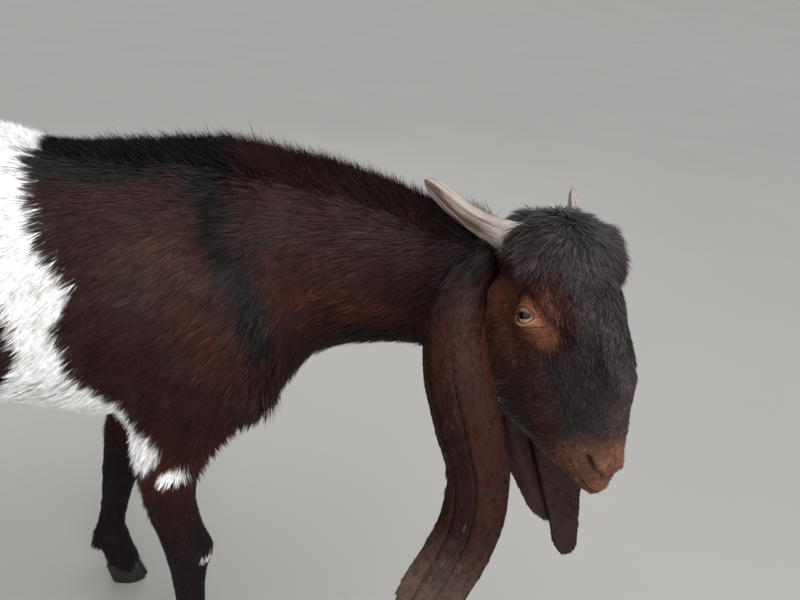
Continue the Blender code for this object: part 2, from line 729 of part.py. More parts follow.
def ear_section(curl, fold, width, count):
    """Places across a curled leaf, with one more fold near its front edge: sideways, outward."""
    spots = np.linspace(-0.5, 0.5, count)
    bend = np.radians(curl) + np.radians(fold) * np.exp(-(((spots - 0.24) / 0.09) ** 2)) / 0.16
    turn = np.concatenate([[0], np.cumsum((bend[1:] + bend[:-1]) / 2 * np.diff(spots))])
    turn -= np.interp(0.0, spots, turn)
    aside, out = [0.0], [0.0]
    for k in range(1, count):
        angle = (turn[k] + turn[k - 1]) / 2
        aside.append(aside[-1] + width / (count - 1) * math.cos(angle))
        out.append(out[-1] - width / (count - 1) * math.sin(angle))
    middle = np.interp(0.0, spots, aside), np.interp(0.0, spots, out)
    return [(u - middle[0], v - middle[1]) for u, v in zip(aside, out)]


def ear(rows, name, where, across_count=10, along_count=20):
    """A long hanging leaf of skin, rolled at its root and opening out towards its tip."""
    rows = smooth_rows(rows, along_count)
    steps = np.gradient(rows[:, :3], axis=0)
    form = bmesh.new()
    grid = []
    for k, (row, step) in enumerate(zip(rows, steps)):
        down = Vector(step).normalized()
        facing = Vector(row[3:6])
        facing = (facing - down * facing.dot(down)).normalized()
        side = facing.cross(down)
        t = k / (along_count - 1)
        width = EAR_WIDTH * row[8]
        if t > 0.84:
            width *= math.sqrt(max(1 - ((t - 0.84) / 0.162) ** 2, 0.02))
        line = []
        for u, v in ear_section(row[6], row[7], width, across_count):
            line.append(form.verts.new(Vector(row[:3]) + side * u + facing * v))
        grid.append(line)
    for low, high in zip(grid, grid[1:]):
        for j in range(across_count - 1):
            form.faces.new((low[j], low[j + 1], high[j + 1]))
            form.faces.new((low[j], high[j + 1], high[j]))
    bmesh.ops.recalc_face_normals(form, faces=form.faces)
    made = mesh_object(name, form, where)
    wall = made.modifiers.new("Wall", "SOLIDIFY")
    wall.thickness = EAR_THICK
    wall.offset = 0
    apply_modifiers(made)
    return made


def hoof_claw(centre, side, name, where):
    """One claw of a hoof: flat below and towards its fellow, curved outside, pointed at the toe."""
    x, y = centre
    outline = [
        (-0.42, 0.0), (-0.47, 0.45), (-0.36, 0.92), (-0.08, 1.0),
        (0.18, 0.90), (0.38, 0.60), (0.50, 0.20), (0.48, 0.0),
    ]
    rings = []
    for level, shrink, shift in ((0.0, 1.0, 0.010), (0.5, 0.90, 0.004), (1.0, 0.80, -0.002)):
        ring = []
        for u, v in outline:
            px = x + shift + u * HOOF_LENGTH * shrink
            top = coronet_height(px - x)
            py = y + side * (0.0012 + v * HOOF_WIDTH * (0.94 + 0.06 * shrink))
            ring.append(Vector((px, py, level * (top - GAP / math.cos(math.radians(HOOF_SLOPE))))))
        rings.append(ring)
    return loft(name, rings, where)


def coronet_height(ahead):
    """Height of the hoof's upper edge, by the distance ahead of the foot's middle."""
    return 0.036 + math.tan(math.radians(HOOF_SLOPE)) * ahead


def foot_centres():
    """Name, middle and side of each foot."""
    feet = []
    for side, word in ((1, "left"), (-1, "right")):
        for table, stride, kind in ((FORELEG, FORE_STRIDE, "fore"), (HINDLEG, HIND_STRIDE, "hind")):
            z, x, half_length, half_width, out = table[-2]
            back, aside = step_of(stride, z, side)
            feet.append((f"{kind}hoof_{word}", (x + back, side * (out + aside)), side))
    return feet


def cut_feet(body, cutters):
    for name, (x, y), side in foot_centres():
        ahead = 0.06
        upper = [(x + ahead, coronet_height(ahead)), (x - ahead, coronet_height(-ahead))]
        outline = [(x - ahead, -0.02), (x + ahead, -0.02)] + upper
        cutter = prism("foot", outline, y - 0.045, y + 0.045, cutters)
        boolean(body, cutter, "DIFFERENCE")


def part_off(body, name, outline, low, high, where, cutters, place=None):
    """Takes what lies in a prism off the body as a piece of its own, with a gap between the two."""
    piece = copy_of(body, name, where)
    boolean(piece, prism("cell", outline, low, high, cutters, 0.0, place), "INTERSECT")
    boolean(body, prism("cell", outline, low, high, cutters, GAP, place), "DIFFERENCE")
    return piece


HEAD_CELL = [(-0.092, 0.20), (-0.080, 0.03), (-0.050, -0.17), (0.22, -0.17), (0.22, 0.20)]
NECK_CELL = [(-0.160, 0.80), (-0.095, 0.43), (0.35, 0.43), (0.35, 0.80)]
TAIL_CELL = [(-1.0, 0.56), (-0.868, 0.56), (-0.868, 0.78), (-1.0, 0.78)]


def foreleg_cell(side):
    """The outline of a foreleg between knee and elbow, which follows the leg's own lean."""
    corners = []
    top = ELBOW if side < 0 else ELBOW - 0.020
    for z, half in ((KNEE, 0.060), (top, 0.066)):
        middle = float(np.interp(-z, [-row[0] for row in FORELEG], [row[1] for row in FORELEG]))
        middle += step_of(FORE_STRIDE, z, side)[0]
        ends = [(middle - half, z), (middle + half, z)]
        corners += ends if z == KNEE else ends[::-1]
    return corners


def clear_of(item, others, cutters):
    """Cuts a piece back from the others, with a gap between them."""
    for other in others:
        boolean(item, grown(other, 1.5 * GAP, "clearance", cutters), "DIFFERENCE")


def flesh(goat, cutters):
    """The whole animal's flesh, fused and then parted: returns the pieces by name."""
    body = whole_body(goat)
    fused(body, BODY_VOXEL, 6, BODY_TRIANGLES)
    with_locks(body, [crest_locks, brisket_locks, tail_locks], goat, 5)
    head = whole_head(goat)
    fused(head, HEAD_VOXEL, 3, HEAD_TRIANGLES)
    with_locks(head, [crown_locks], goat, 8)
    boolean(head, mouth(head, cutters), "DIFFERENCE")
    boolean(head, prism("cell", HEAD_CELL, -0.2, 0.2, cutters, 0.0, HEAD), "INTERSECT")
    boolean(body, prism("cell", HEAD_CELL, -0.2, 0.2, cutters, GAP, HEAD), "DIFFERENCE")
    cut_feet(body, cutters)
    pieces = [head]
    pieces.append(part_off(body, "neck", NECK_CELL, -0.3, 0.3, goat, cutters))
    pieces.append(part_off(body, "tail", TAIL_CELL, -0.1, 0.1, goat, cutters))
    for side, word in ((1, "left"), (-1, "right")):
        back = -0.075 if side > 0 else 0.0
        low, high = sorted((side * 0.045, side * 0.3))
        outline = [(-0.5 + back, -0.1), (back, -0.1), (back, KNEE), (-0.5 + back, KNEE)]
        name = f"foreleg_{word}_lower"
        pieces.append(part_off(body, name, outline, low - 0.05, high + 0.05, goat, cutters))
        outline = foreleg_cell(side)
        pieces.append(part_off(body, f"foreleg_{word}_upper", outline, low, high, goat, cutters))
        outline = [(-1.0, -0.1), (-0.6, -0.1), (-0.6, HOCK), (-1.0, HOCK)]
        pieces.append(part_off(body, f"hindleg_{word}_lower", outline, low - 0.02, high, goat, cutters))
        outline = [(-1.0, HOCK), (-0.58, HOCK), (-0.58, 0.44), (-0.64, 0.47), (-0.86, 0.60), (-1.0, 0.60)]
        low, high = sorted((side * 0.036, side * 0.3))
        pieces.append(part_off(body, f"hindleg_{word}_upper", outline, low, high, goat, cutters))
    body.name = "torso"
    return pieces + [body]


def build():
    clear_scene()
    goat = collection("billy_goat")
    cutters = collection("cutters")
    pieces = flesh(goat, cutters)
    head, neck_piece = pieces[0], pieces[1]
    for side, word in ((1, "left"), (-1, "right")):
        boolean(head, eye_opening(side, cutters), "DIFFERENCE")
        boolean(head, eyeball(side, "socket", cutters, GAP), "DIFFERENCE")
        boolean(head, horn(side, "horn_socket", cutters, GAP), "DIFFERENCE")
        boolean(neck_piece, horn(side, "horn_path", cutters, GAP), "DIFFERENCE")
        boolean(head, nostril(side, cutters), "DIFFERENCE")
        pieces.append(eyeball(side, f"eye_{word}", goat))
        pieces.append(horn(side, f"horn_{word}", goat))
    for rows, word in ((EAR_NEAR, "right"), (EAR_FAR, "left")):
        leaf = ear(rows, f"ear_{word}", goat)
        clear_of(leaf, [head, neck_piece], cutters)
        pieces.append(leaf)
    for name, centre, side in foot_centres():
        pieces.append(hoof_claw(centre, side, f"{name}_outer", goat))
        pieces.append(hoof_claw(centre, -side, f"{name}_inner", goat))

    for item in list(cutters.objects):
        bpy.data.objects.remove(item)
    finish(pieces)


def finish(pieces):
    """Gives every piece its material and moves the model's origin under the middle of its box."""
    looks = {
        "eye": material("eye", (0.20, 0.10, 0.03), 0.08),
        "horn": material("horn", (0.33, 0.27, 0.21), 0.45),
        "hoof": material("hoof", (0.03, 0.025, 0.02), 0.4),
        "leg": material("leg_coat", (0.018, 0.012, 0.010), 0.6),
        "coat": material("coat", (0.060, 0.020, 0.012), 0.55),
    }
    corners = []
    for piece in pieces:
        keep_largest(piece)
        kind = next(word for word in looks if word in piece.name or word == "coat")
        piece.data.materials.clear()
        piece.data.materials.append(looks[kind])
        corners += [vertex.co.copy() for vertex in piece.data.vertices]
    middle = [(min(c[k] for c in corners) + max(c[k] for c in corners)) / 2 for k in range(2)]
    for piece in pieces:
        piece.data.transform(Matrix.Translation((-middle[0], -middle[1], 0)))
        piece.data.shade_smooth()
    print("origin moved by", [round(-value, 5) for value in middle])


build()
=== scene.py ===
import math

import bmesh
import bpy
import numpy as np
from mathutils import Matrix, Vector, noise
from mathutils.bvhtree import BVHTree
from mathutils.kdtree import KDTree


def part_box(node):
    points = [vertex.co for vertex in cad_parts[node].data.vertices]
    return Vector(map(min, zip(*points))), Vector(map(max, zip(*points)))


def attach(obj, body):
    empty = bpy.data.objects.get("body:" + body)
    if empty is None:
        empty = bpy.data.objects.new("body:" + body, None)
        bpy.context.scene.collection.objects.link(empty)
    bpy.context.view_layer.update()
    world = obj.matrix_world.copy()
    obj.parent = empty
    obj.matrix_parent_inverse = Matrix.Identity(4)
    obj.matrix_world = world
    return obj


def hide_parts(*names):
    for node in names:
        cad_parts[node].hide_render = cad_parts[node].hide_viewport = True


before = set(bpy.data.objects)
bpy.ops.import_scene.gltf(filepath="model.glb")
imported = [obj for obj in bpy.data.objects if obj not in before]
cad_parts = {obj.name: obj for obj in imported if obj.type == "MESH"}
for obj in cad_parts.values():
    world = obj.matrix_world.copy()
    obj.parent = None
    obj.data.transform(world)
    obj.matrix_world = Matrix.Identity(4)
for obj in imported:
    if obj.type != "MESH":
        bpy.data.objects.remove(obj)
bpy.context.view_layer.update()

# The goat's own frame: X forward, Y to its left, Z up, with the middle plane at Y = 0.
# The head has a frame between the eyes: X to the muzzle, Y to its left, Z out of the brow.
headPose = {"at": (0.157, -0.152, 0.659), "yaw": -66.0, "pitch": 29.0, "roll": -4.5}
headTurn = (
    Matrix.Rotation(math.radians(headPose["yaw"]), 3, "Z")
    @ Matrix.Rotation(math.radians(headPose["pitch"]), 3, "Y")
    @ Matrix.Rotation(math.radians(headPose["roll"]), 3, "X")
)
headTurnArray = np.array(headTurn)
headAt = np.array(headPose["at"])

eyeLook = {
    "at": (0.000, 0.0385, -0.008),  # the left eye in the head's frame
    "radius": 0.0145,
    "forward": 10.0, "up": 8.0, "tilt": 50.0,  # degrees by which the opening looks and leans
    "slit": (0.0116, 0.0046, 0.0060),  # half length of the opening, height above and below its middle
    "offset": 0.0018,
}
lidFolds = [  # millimetres along and up from the opening's middle, then width and depth of the fold
    (((6.5, 15.0), (11.5, 7.5), (18.0, -1.5)), 0.85, 1.3),
    (((-7.0, 8.0), (0.0, 9.2), (8.0, 6.6), (15.0, 0.0), (18.5, -1.0)), 0.65, 0.85),
    (((-3.0, 12.0), (5.0, 11.6), (10.0, 7.8)), 0.60, 0.6),
    (((-12.5, -3.0), (-7.0, -8.0), (3.5, -9.9), (14.0, -9.0), (20.5, -7.6)), 0.70, 1.0),
    (((-9.0, -9.0), (0.0, -12.6), (9.0, -13.0), (18.0, -10.8)), 0.60, 0.6),
]


def toGoat(points):
    return np.asarray(points, float) @ headTurnArray.T + headAt


def toHead(points):
    return (np.asarray(points, float) - headAt) @ headTurnArray


# The frame's origin is under the middle of the model, so the right eye tells where the goat's frame lies
low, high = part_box("eye_right")
eyeMiddle = np.array((low + high) / 2)
rightEye = np.array(eyeLook["at"]) * (1, -1, 1)
shift = eyeMiddle - toGoat([rightEye])[0]


# Tools

def linearColour(text):
    values = []
    for k in (0, 2, 4):
        c = int(text.lstrip("#")[k:k + 2], 16) / 255
        values.append(c / 12.92 if c <= 0.04045 else ((c + 0.055) / 1.055) ** 2.4)
    return np.array(values)


def smoothRows(rows, count):
    rows = np.array(rows, float)
    padded = np.vstack([2 * rows[0] - rows[1], rows, 2 * rows[-1] - rows[-2]])
    place = np.linspace(0, len(rows) - 1, count)
    index = np.minimum(place.astype(int), len(rows) - 2)
    t = (place - index)[:, None]
    a, b, c, d = (padded[index + k] for k in range(4))
    return 0.5 * (2 * b + (c - a) * t + (2 * a - 5 * b + 4 * c - d) * t**2 + (3 * b - a - 3 * c + d) * t**3)


def ramp(low, high, value):
    t = np.clip((np.asarray(value, float) - low) / (high - low), 0, 1)
    return t * t * (3 - 2 * t)


def bump(centre, width, value):
    return np.exp(-(((np.asarray(value, float) - centre) / width) ** 2))


def unit(rows):
    rows = np.asarray(rows, float)
    return rows / np.maximum(np.linalg.norm(rows, axis=-1, keepdims=True), 1e-9)


def tube(rings):
    # A closed skin through rings of equal count: points and faces
    rings = np.asarray(rings, float)
    rows, count = rings.shape[:2]
    k = np.arange(count)
    faces = []
    for r in range(rows - 1):
        a, b = r * count, (r + 1) * count
        faces += [(a + i, a + (i + 1) % count, b + (i + 1) % count, b + i) for i in k]
    faces.append(tuple(k[::-1]))
    faces.append(tuple(k + (rows - 1) * count))
    return rings.reshape(-1, 3), faces


def sectionRing(centre, across, upward, halfWidth, above, below, sides=32, square=2.3):
    a = np.linspace(0, 2 * np.pi, sides, endpoint=False)
    c, s = np.cos(a), np.sin(a)
    reach = (np.abs(c) ** square + np.abs(s) ** square) ** (-1 / square)
    height = np.where(s > 0, above, below)
    across, upward = np.asarray(across, float), np.asarray(upward, float)
    return np.asarray(centre) + (c * reach * halfWidth)[:, None] * across + (s * reach * height)[:, None] * upward


def ovalForm(centre, radii, turn=(0, 0, 0), sides=32):
    spin = Matrix.Identity(3)
    for axis, angle in zip("ZYX", turn[::-1]):
        spin = spin @ Matrix.Rotation(math.radians(angle), 3, axis)
    spin = np.array(spin)
    rings = []
    for lat in np.linspace(-89.0, 89.0, sides // 2):
        c, s = math.cos(math.radians(lat)), math.sin(math.radians(lat))
        a = np.linspace(0, 2 * np.pi, sides, endpoint=False)
        ring = np.stack([c * np.cos(a), c * np.sin(a), np.full(sides, s)], 1) * radii
        rings.append(ring @ spin.T + np.asarray(centre))
    return tube(rings)


def bothSides(centre, radii, turn=(0, 0, 0)):
    x, y, z = centre
    made = []
    for side in (1, -1):
        made.append(ovalForm((x, y * side, z), radii, (turn[0] * side, turn[1], turn[2] * side)))
    return made


def meshFrom(name, forms):
    points, faces, base = [], [], 0
    for formPoints, formFaces in forms:
        points.append(formPoints)
        faces += [tuple(int(i) + base for i in face) for face in formFaces]
        base += len(formPoints)
    mesh = bpy.data.meshes.new(name)
    mesh.from_pydata(np.vstack(points).tolist(), [], faces)
    form = bmesh.new()
    form.from_mesh(mesh)
    bmesh.ops.recalc_face_normals(form, faces=form.faces)
    form.to_mesh(mesh)
    form.free()
    made = bpy.data.objects.new(name, mesh)
    bpy.context.scene.collection.objects.link(made)
    return made


def applied(item):
    seen = item.evaluated_get(bpy.context.evaluated_depsgraph_get())
    mesh = bpy.data.meshes.new_from_object(seen)
    item.modifiers.clear()
    item.data = mesh
    return item


def fused(item, voxel, rounds):
    remesh = item.modifiers.new("Fuse", "REMESH")
    remesh.mode = "VOXEL"
    remesh.voxel_size = voxel
    even = item.modifiers.new("Round", "LAPLACIANSMOOTH")
    even.iterations = rounds
    even.lambda_factor = 0.5
    even.lambda_border = 0.0
    return applied(item)


def pointsOf(mesh):
    values = np.empty(len(mesh.vertices) * 3, np.float32)
    mesh.vertices.foreach_get("co", values)
    return values.reshape(-1, 3).astype(float)


def normalsOf(mesh):
    values = np.empty(len(mesh.vertices) * 3, np.float32)
    mesh.vertex_normals.foreach_get("vector", values)
    return values.reshape(-1, 3).astype(float)


def setPoints(mesh, points):
    mesh.vertices.foreach_set("co", np.asarray(points, np.float32).ravel())
    mesh.update()


def formsOf(item):
    # An object's mesh back as points and faces, with the object removed
    points = pointsOf(item.data)
    faces = [tuple(face.vertices) for face in item.data.polygons]
    bpy.data.objects.remove(item)
    return points, faces


def cloud(points, size, seed=0.0, octaves=3):
    # Smooth noise from about -1 to 1, whose patches are about size across
    offset = Vector((seed * 7.3, seed * 3.1, seed * 5.7))
    return np.array([noise.fractal(Vector(p) / size + offset, 0.6, 2.1, octaves) for p in points])


# Nodes

def addNode(tree, kind, settings=None, **links):
    node = tree.nodes.new(kind)
    for name, value in (settings or {}).items():
        if hasattr(node, name):
            setattr(node, name, value)
        else:
            node.inputs[name].default_value = value
    for name, source in links.items():
        key = int(name[1:]) if name[0] == "i" and name[1:].isdigit() else name.replace("_", " ")
        tree.links.new(source, node.inputs[key])
    return node


def newMaterial(name):
    made = bpy.data.materials.new(name)
    made.use_nodes = True
    return made, made.node_tree, made.node_tree.nodes["Principled BSDF"]


# Body forms: the same sections as the solids have

trunkRows = [  # from tail to chest: place, top, bottom, half width
    (-0.868, 0.640, 0.565, 0.030), (-0.850, 0.688, 0.530, 0.055), (-0.800, 0.722, 0.500, 0.088),
    (-0.720, 0.738, 0.475, 0.103), (-0.620, 0.736, 0.455, 0.112), (-0.520, 0.734, 0.432, 0.122),
    (-0.440, 0.728, 0.418, 0.122), (-0.370, 0.717, 0.412, 0.116), (-0.300, 0.718, 0.402, 0.106),
    (-0.240, 0.724, 0.394, 0.096), (-0.185, 0.720, 0.404, 0.086), (-0.135, 0.704, 0.455, 0.074),
    (-0.095, 0.680, 0.510, 0.058),
]
neckRows = [  # from withers to skull: centre, half height, half width
    (-0.210, 0.000, 0.600, 0.118, 0.080), (-0.140, -0.004, 0.608, 0.112, 0.074),
    (-0.080, -0.012, 0.618, 0.098, 0.065), (-0.020, -0.024, 0.621, 0.085, 0.056),
    (0.035, -0.045, 0.622, 0.072, 0.050), (0.085, -0.072, 0.636, 0.066, 0.046),
    (0.125, -0.100, 0.655, 0.052, 0.040),
]
crestRows = [  # where the tips of the standing hair run, from rump to poll
    (-0.800, 0.000, 0.732), (-0.600, 0.000, 0.744), (-0.440, 0.000, 0.742), (-0.375, 0.000, 0.730),
    (-0.290, 0.000, 0.737), (-0.210, 0.000, 0.746), (-0.150, -0.003, 0.748), (-0.075, -0.012, 0.740),
    (-0.012, -0.026, 0.727), (0.045, -0.050, 0.713), (0.088, -0.075, 0.716),
]
forelegRows = [  # height, place, half length, half width, distance from the middle
    (0.620, -0.200, 0.060, 0.042, 0.060), (0.540, -0.203, 0.078, 0.040, 0.076),
    (0.470, -0.222, 0.066, 0.040, 0.081), (0.420, -0.240, 0.051, 0.034, 0.080),
    (0.370, -0.254, 0.038, 0.032, 0.076), (0.310, -0.255, 0.032, 0.027, 0.071),
    (0.262, -0.246, 0.030, 0.0255, 0.068), (0.232, -0.238, 0.0310, 0.0270, 0.066),
    (0.200, -0.240, 0.0245, 0.0215, 0.066), (0.150, -0.240, 0.0205, 0.0180, 0.066),
    (0.110, -0.240, 0.0210, 0.0190, 0.066), (0.086, -0.239, 0.0260, 0.0235, 0.067),
    (0.064, -0.231, 0.0235, 0.0220, 0.068), (0.042, -0.222, 0.0225, 0.0225, 0.068),
    (0.018, -0.216, 0.0235, 0.0230, 0.068),
]
hindlegRows = [
    (0.660, -0.765, 0.070, 0.040, 0.055), (0.600, -0.760, 0.088, 0.048, 0.070),
    (0.530, -0.745, 0.092, 0.048, 0.085), (0.470, -0.737, 0.080, 0.043, 0.092),
    (0.420, -0.750, 0.060, 0.035, 0.090), (0.370, -0.775, 0.041, 0.028, 0.086),
    (0.320, -0.798, 0.029, 0.022, 0.081), (0.285, -0.810, 0.030, 0.022, 0.078),
    (0.245, -0.806, 0.022, 0.0185, 0.076), (0.170, -0.800, 0.0165, 0.0145, 0.074),
    (0.115, -0.798, 0.0165, 0.0150, 0.072), (0.086, -0.797, 0.0215, 0.0195, 0.071),
    (0.064, -0.789, 0.0185, 0.0180, 0.070), (0.042, -0.780, 0.0215, 0.0215, 0.070),
    (0.018, -0.774, 0.0225, 0.0220, 0.070),
]
foreStride = [  # how far back and outwards the left leg stands, by height
    (0.00, -0.184, 0.022), (0.10, -0.174, 0.019), (0.22, -0.145, 0.014), (0.31, -0.111, 0.007),
    (0.38, -0.080, 0.002), (0.47, -0.044, 0.0), (0.62, -0.030, 0.0),
]
hindStride = [(0.00, -0.075, 0.0), (0.28, -0.060, 0.0), (0.45, -0.020, 0.0), (0.66, 0.0, 0.0)]
tailRows = [  # centre, half width, half thickness
    (-0.830, 0.000, 0.694, 0.024, 0.024), (-0.864, 0.000, 0.700, 0.021, 0.018),
    (-0.893, 0.001, 0.692, 0.022, 0.014), (-0.913, 0.003, 0.668, 0.020, 0.012),
    (-0.921, 0.004, 0.640, 0.009, 0.007),
]
bodyOvals = [  # muscles and bones: centre, radii, turn in degrees
    ((-0.190, 0.066, 0.610), (0.046, 0.028, 0.110), (8, 20, 0)),
    ((-0.185, 0.078, 0.505), (0.070, 0.032, 0.048), (0, 38, 0)),
    ((-0.160, 0.036, 0.490), (0.036, 0.034, 0.070), (0, 30, 0)),
    ((-0.690, 0.066, 0.690), (0.050, 0.030, 0.034), (0, 0, 0)),
    ((-0.765, 0.074, 0.590), (0.078, 0.040, 0.090), (0, -12, 0)),
    ((-0.470, 0.070, 0.540), (0.160, 0.058, 0.100), (0, 0, 0)),
    ((-0.690, 0.086, 0.485), (0.040, 0.030, 0.050), (0, 0, 0)),
]
middleOvals = [
    ((-0.585, 0, 0.446), (0.045, 0.015, 0.022), (0, -8, 0)),
    ((-0.725, 0, 0.432), (0.033, 0.030, 0.052), (0, 0, 0)),
]
skullRows = [  # place, brow, jaw, half widths at brow, cheek and jaw
    (-0.085, 0.020, -0.058, 0.022, 0.030, 0.022), (-0.050, 0.042, -0.106, 0.034, 0.043, 0.035),
    (-0.015, 0.047, -0.126, 0.037, 0.044, 0.042), (0.020, 0.045, -0.133, 0.032, 0.040, 0.042),
    (0.055, 0.034, -0.129, 0.024, 0.033, 0.038), (0.090, 0.015, -0.115, 0.018, 0.026, 0.028),
    (0.118, -0.012, -0.101, 0.0145, 0.020, 0.018), (0.138, -0.040, -0.089, 0.010, 0.014, 0.010),
]
headOvals = [  # centre, radii, turn, and whether there is one on each side
    ((-0.044, 0.003, 0.021), (0.052, 0.046, 0.034), (0, -4, 0), False),
    ((-0.040, 0.020, 0.026), (0.042, 0.031, 0.026), (0, 0, 0), False),
    ((-0.082, 0, -0.016), (0.040, 0.034, 0.036), (0, 20, 0), False),
    ((0.006, 0, 0.016), (0.056, 0.035, 0.028), (0, 10, 0), False),
    ((0.050, 0, 0.020), (0.056, 0.019, 0.018), (0, 18, 0), False),
    ((0.116, 0, -0.047), (0.0230, 0.0160, 0.0245), (0, 38, 0), False),
    ((0.102, 0, -0.091), (0.024, 0.0115, 0.012), (0, 12, 0), False),
    ((-0.050, 0, -0.068), (0.040, 0.036, 0.042), (0, 0, 0), False),
    ((-0.004, 0.0305, -0.004), (0.030, 0.018, 0.020), (0, 0, 0), True),
    ((-0.006, 0.034, 0.012), (0.028, 0.014, 0.012), (0, 10, 0), True),
    ((-0.012, 0.031, -0.070), (0.048, 0.017, 0.040), (0, 20, 0), True),
    ((0.030, 0.026, -0.038), (0.040, 0.012, 0.013), (0, 12, -10), True),
    ((0.126, 0.0050, -0.066), (0.0255, 0.0094, 0.0165), (0, 40, 0), True),
    ((0.101, 0.0048, -0.085), (0.026, 0.0088, 0.010), (0, 14, 0), True),
    ((-0.0575, 0.0395, 0.0225), (0.0205, 0.0205, 0.0200), (0, 0, 0), True),
    ((-0.0430, 0.0315, 0.0190), (0.0230, 0.0220, 0.0215), (0, 0, 0), True),
    ((-0.062, 0.034, -0.002), (0.022, 0.018, 0.022), (0, 0, 0), True),
]
earRows = {  # centre, the way the outer face looks, curl and fold in degrees, share of the width
    "right": [
        (0.078, -0.116, 0.694, -0.30, -0.80, 0.45, 290, 0, 0.80),
        (0.056, -0.148, 0.676, -0.35, -0.85, 0.35, 220, 0, 0.90),
        (0.043, -0.176, 0.645, -0.40, -0.88, 0.20, 180, 0, 1.00),
        (0.048, -0.197, 0.600, -0.38, -0.92, 0.10, 160, 0, 1.04),
        (0.065, -0.208, 0.552, -0.33, -0.94, 0.05, 145, 0, 1.02),
        (0.083, -0.216, 0.500, -0.28, -0.95, 0.02, 130, 0, 0.87),
        (0.084, -0.225, 0.452, -0.22, -0.96, 0.05, 110, 0, 0.80),
        (0.071, -0.234, 0.410, -0.15, -0.97, 0.10, 85, 0, 0.78),
        (0.052, -0.243, 0.368, -0.10, -0.96, 0.15, 60, 0, 0.76),
        (0.044, -0.247, 0.350, -0.10, -0.96, 0.15, 50, 0, 0.68),
    ],
    "left": [
        (0.180, -0.073, 0.684, 0.60, 0.70, 0.45, 290, 0, 0.80),
        (0.203, -0.050, 0.660, 0.60, 0.75, 0.35, 210, 0, 0.88),
        (0.206, -0.046, 0.628, 0.52, 0.82, 0.20, 150, 20, 0.98),
        (0.175, -0.052, 0.585, 0.42, 0.90, 0.05, 70, 50, 1.45),
        (0.160, -0.064, 0.530, 0.30, 0.95, 0.00, 45, 75, 1.52),
        (0.164, -0.078, 0.475, 0.24, 0.97, 0.00, 35, 80, 1.42),
        (0.181, -0.092, 0.420, 0.22, 0.97, 0.00, 30, 70, 0.99),
        (0.198, -0.104, 0.372, 0.22, 0.97, 0.00, 30, 50, 0.66),
        (0.207, -0.110, 0.332, 0.22, 0.97, 0.00, 30, 30, 0.52),
    ],
}
earLook = {
    "width": 0.086, "thick": 0.0030, "across": 72, "along": 150,
    "grooves": ((-0.23, 0.024, 0.0022), (0.05, 0.018, 0.0013)),  # place across, width and depth
    "strip": 0.05,  # where the folded strip of the far ear begins
}
skinLook = {"massVoxel": 0.009, "bodyVoxel": 0.0060, "headVoxel": 0.0020}


def stepOf(stride, z, side):
    # How far back and outwards a leg stands from the place that its table gives
    heights = [row[0] for row in stride]
    if side < 0:
        return 0.0, 0.0
    return tuple(np.interp(z, heights, [row[column] for row in stride]) for column in (1, 2))


def trunkForm():
    rings = []
    for x, top, bottom, halfWidth in smoothRows(trunkRows, 48):
        middle = bottom + 0.46 * (top - bottom)
        rings.append(sectionRing((x, 0, middle), (0, 1, 0), (0, 0, 1), halfWidth, top - middle, middle - bottom))
    return tube(rings)


def spineForm(rows, count, square=2.1, first=0.0):
    # A tube along a spine that keeps its height upright; first leaves out that share at its start
    rows = smoothRows(rows, count)
    steps = unit(np.gradient(rows[:, :3], axis=0))
    rings = []
    for row, step in list(zip(rows, steps))[int(first * count):]:
        across = unit(np.cross((0, 0, 1), step))
        upward = np.cross(step, across)
        rings.append(sectionRing(row[:3], across, upward, row[4], row[3], row[3], square=square))
    return tube(rings)


def tailForm():
    rows = smoothRows(tailRows, 20)
    steps = unit(np.gradient(rows[:, :3], axis=0))
    rings = []
    for row, step in zip(rows, steps):
        upward = unit(np.cross(step, (0, 1, 0)))
        rings.append(sectionRing(row[:3], (0, 1, 0), upward, row[3], row[4], row[4], 20, 2.0))
    return tube(rings)


def legForm(table, stride, side):
    rings = []
    for z, x, halfLength, halfWidth, out in smoothRows(table, 60):
        back, aside = stepOf(stride, z, side)
        centre = (x + back, side * (out + aside), z)
        rings.append(sectionRing(centre, (1, 0, 0), (0, 1, 0), halfLength, halfWidth, halfWidth, 24, 2.1))
    return tube(rings)


def legForms():
    made = []
    for side in (1, -1):
        made.append(legForm(forelegRows, foreStride, side))
        made.append(legForm(hindlegRows, hindStride, side))
    return made


def dewclawForms():
    made = []
    for side in (1, -1):
        for stride, x, out in ((foreStride, -0.235, 0.065), (hindStride, -0.797, 0.071)):
            back, aside = stepOf(stride, 0.08, side)
            for split in (1, -1):
                centre = (x + back - 0.022, side * (out + aside) + split * 0.009, 0.078)
                made.append(ovalForm(centre, (0.008, 0.0065, 0.010), (0, 35, 0), 16))
    return made


def bodySkin():
    forms = [trunkForm(), spineForm(neckRows, 32)] + legForms()
    for centre, radii, turn in bodyOvals:
        forms += bothSides(centre, radii, turn)
    forms += [ovalForm(*row) for row in middleOvals]
    mass = fused(meshFrom("mass", forms), skinLook["massVoxel"], 14)
    forms = [formsOf(mass), tailForm()] + legForms() + dewclawForms()
    body = fused(meshFrom("bodySkin", forms), skinLook["bodyVoxel"], 5)
    return body


def skullForm():
    rings = []
    a = np.linspace(0, 2 * np.pi, 40, endpoint=False)
    c, s = np.cos(a), np.sin(a)
    height = np.abs(s) ** 0.85 * np.sign(s)
    for x, brow, jaw, top, cheek, lower in smoothRows(skullRows, 40):
        width = np.interp(height, [-1.0, -0.6, 0.0, 0.5, 1.0], [lower * 0.8, lower, cheek, (top + cheek) / 2, top])
        y = width * np.abs(c) ** 0.75 * np.sign(c)
        z = 0.5 * (brow + jaw) + 0.5 * (brow - jaw) * height
        rings.append(np.stack([np.full(len(a), x), y, z], 1))
    return tube(rings)


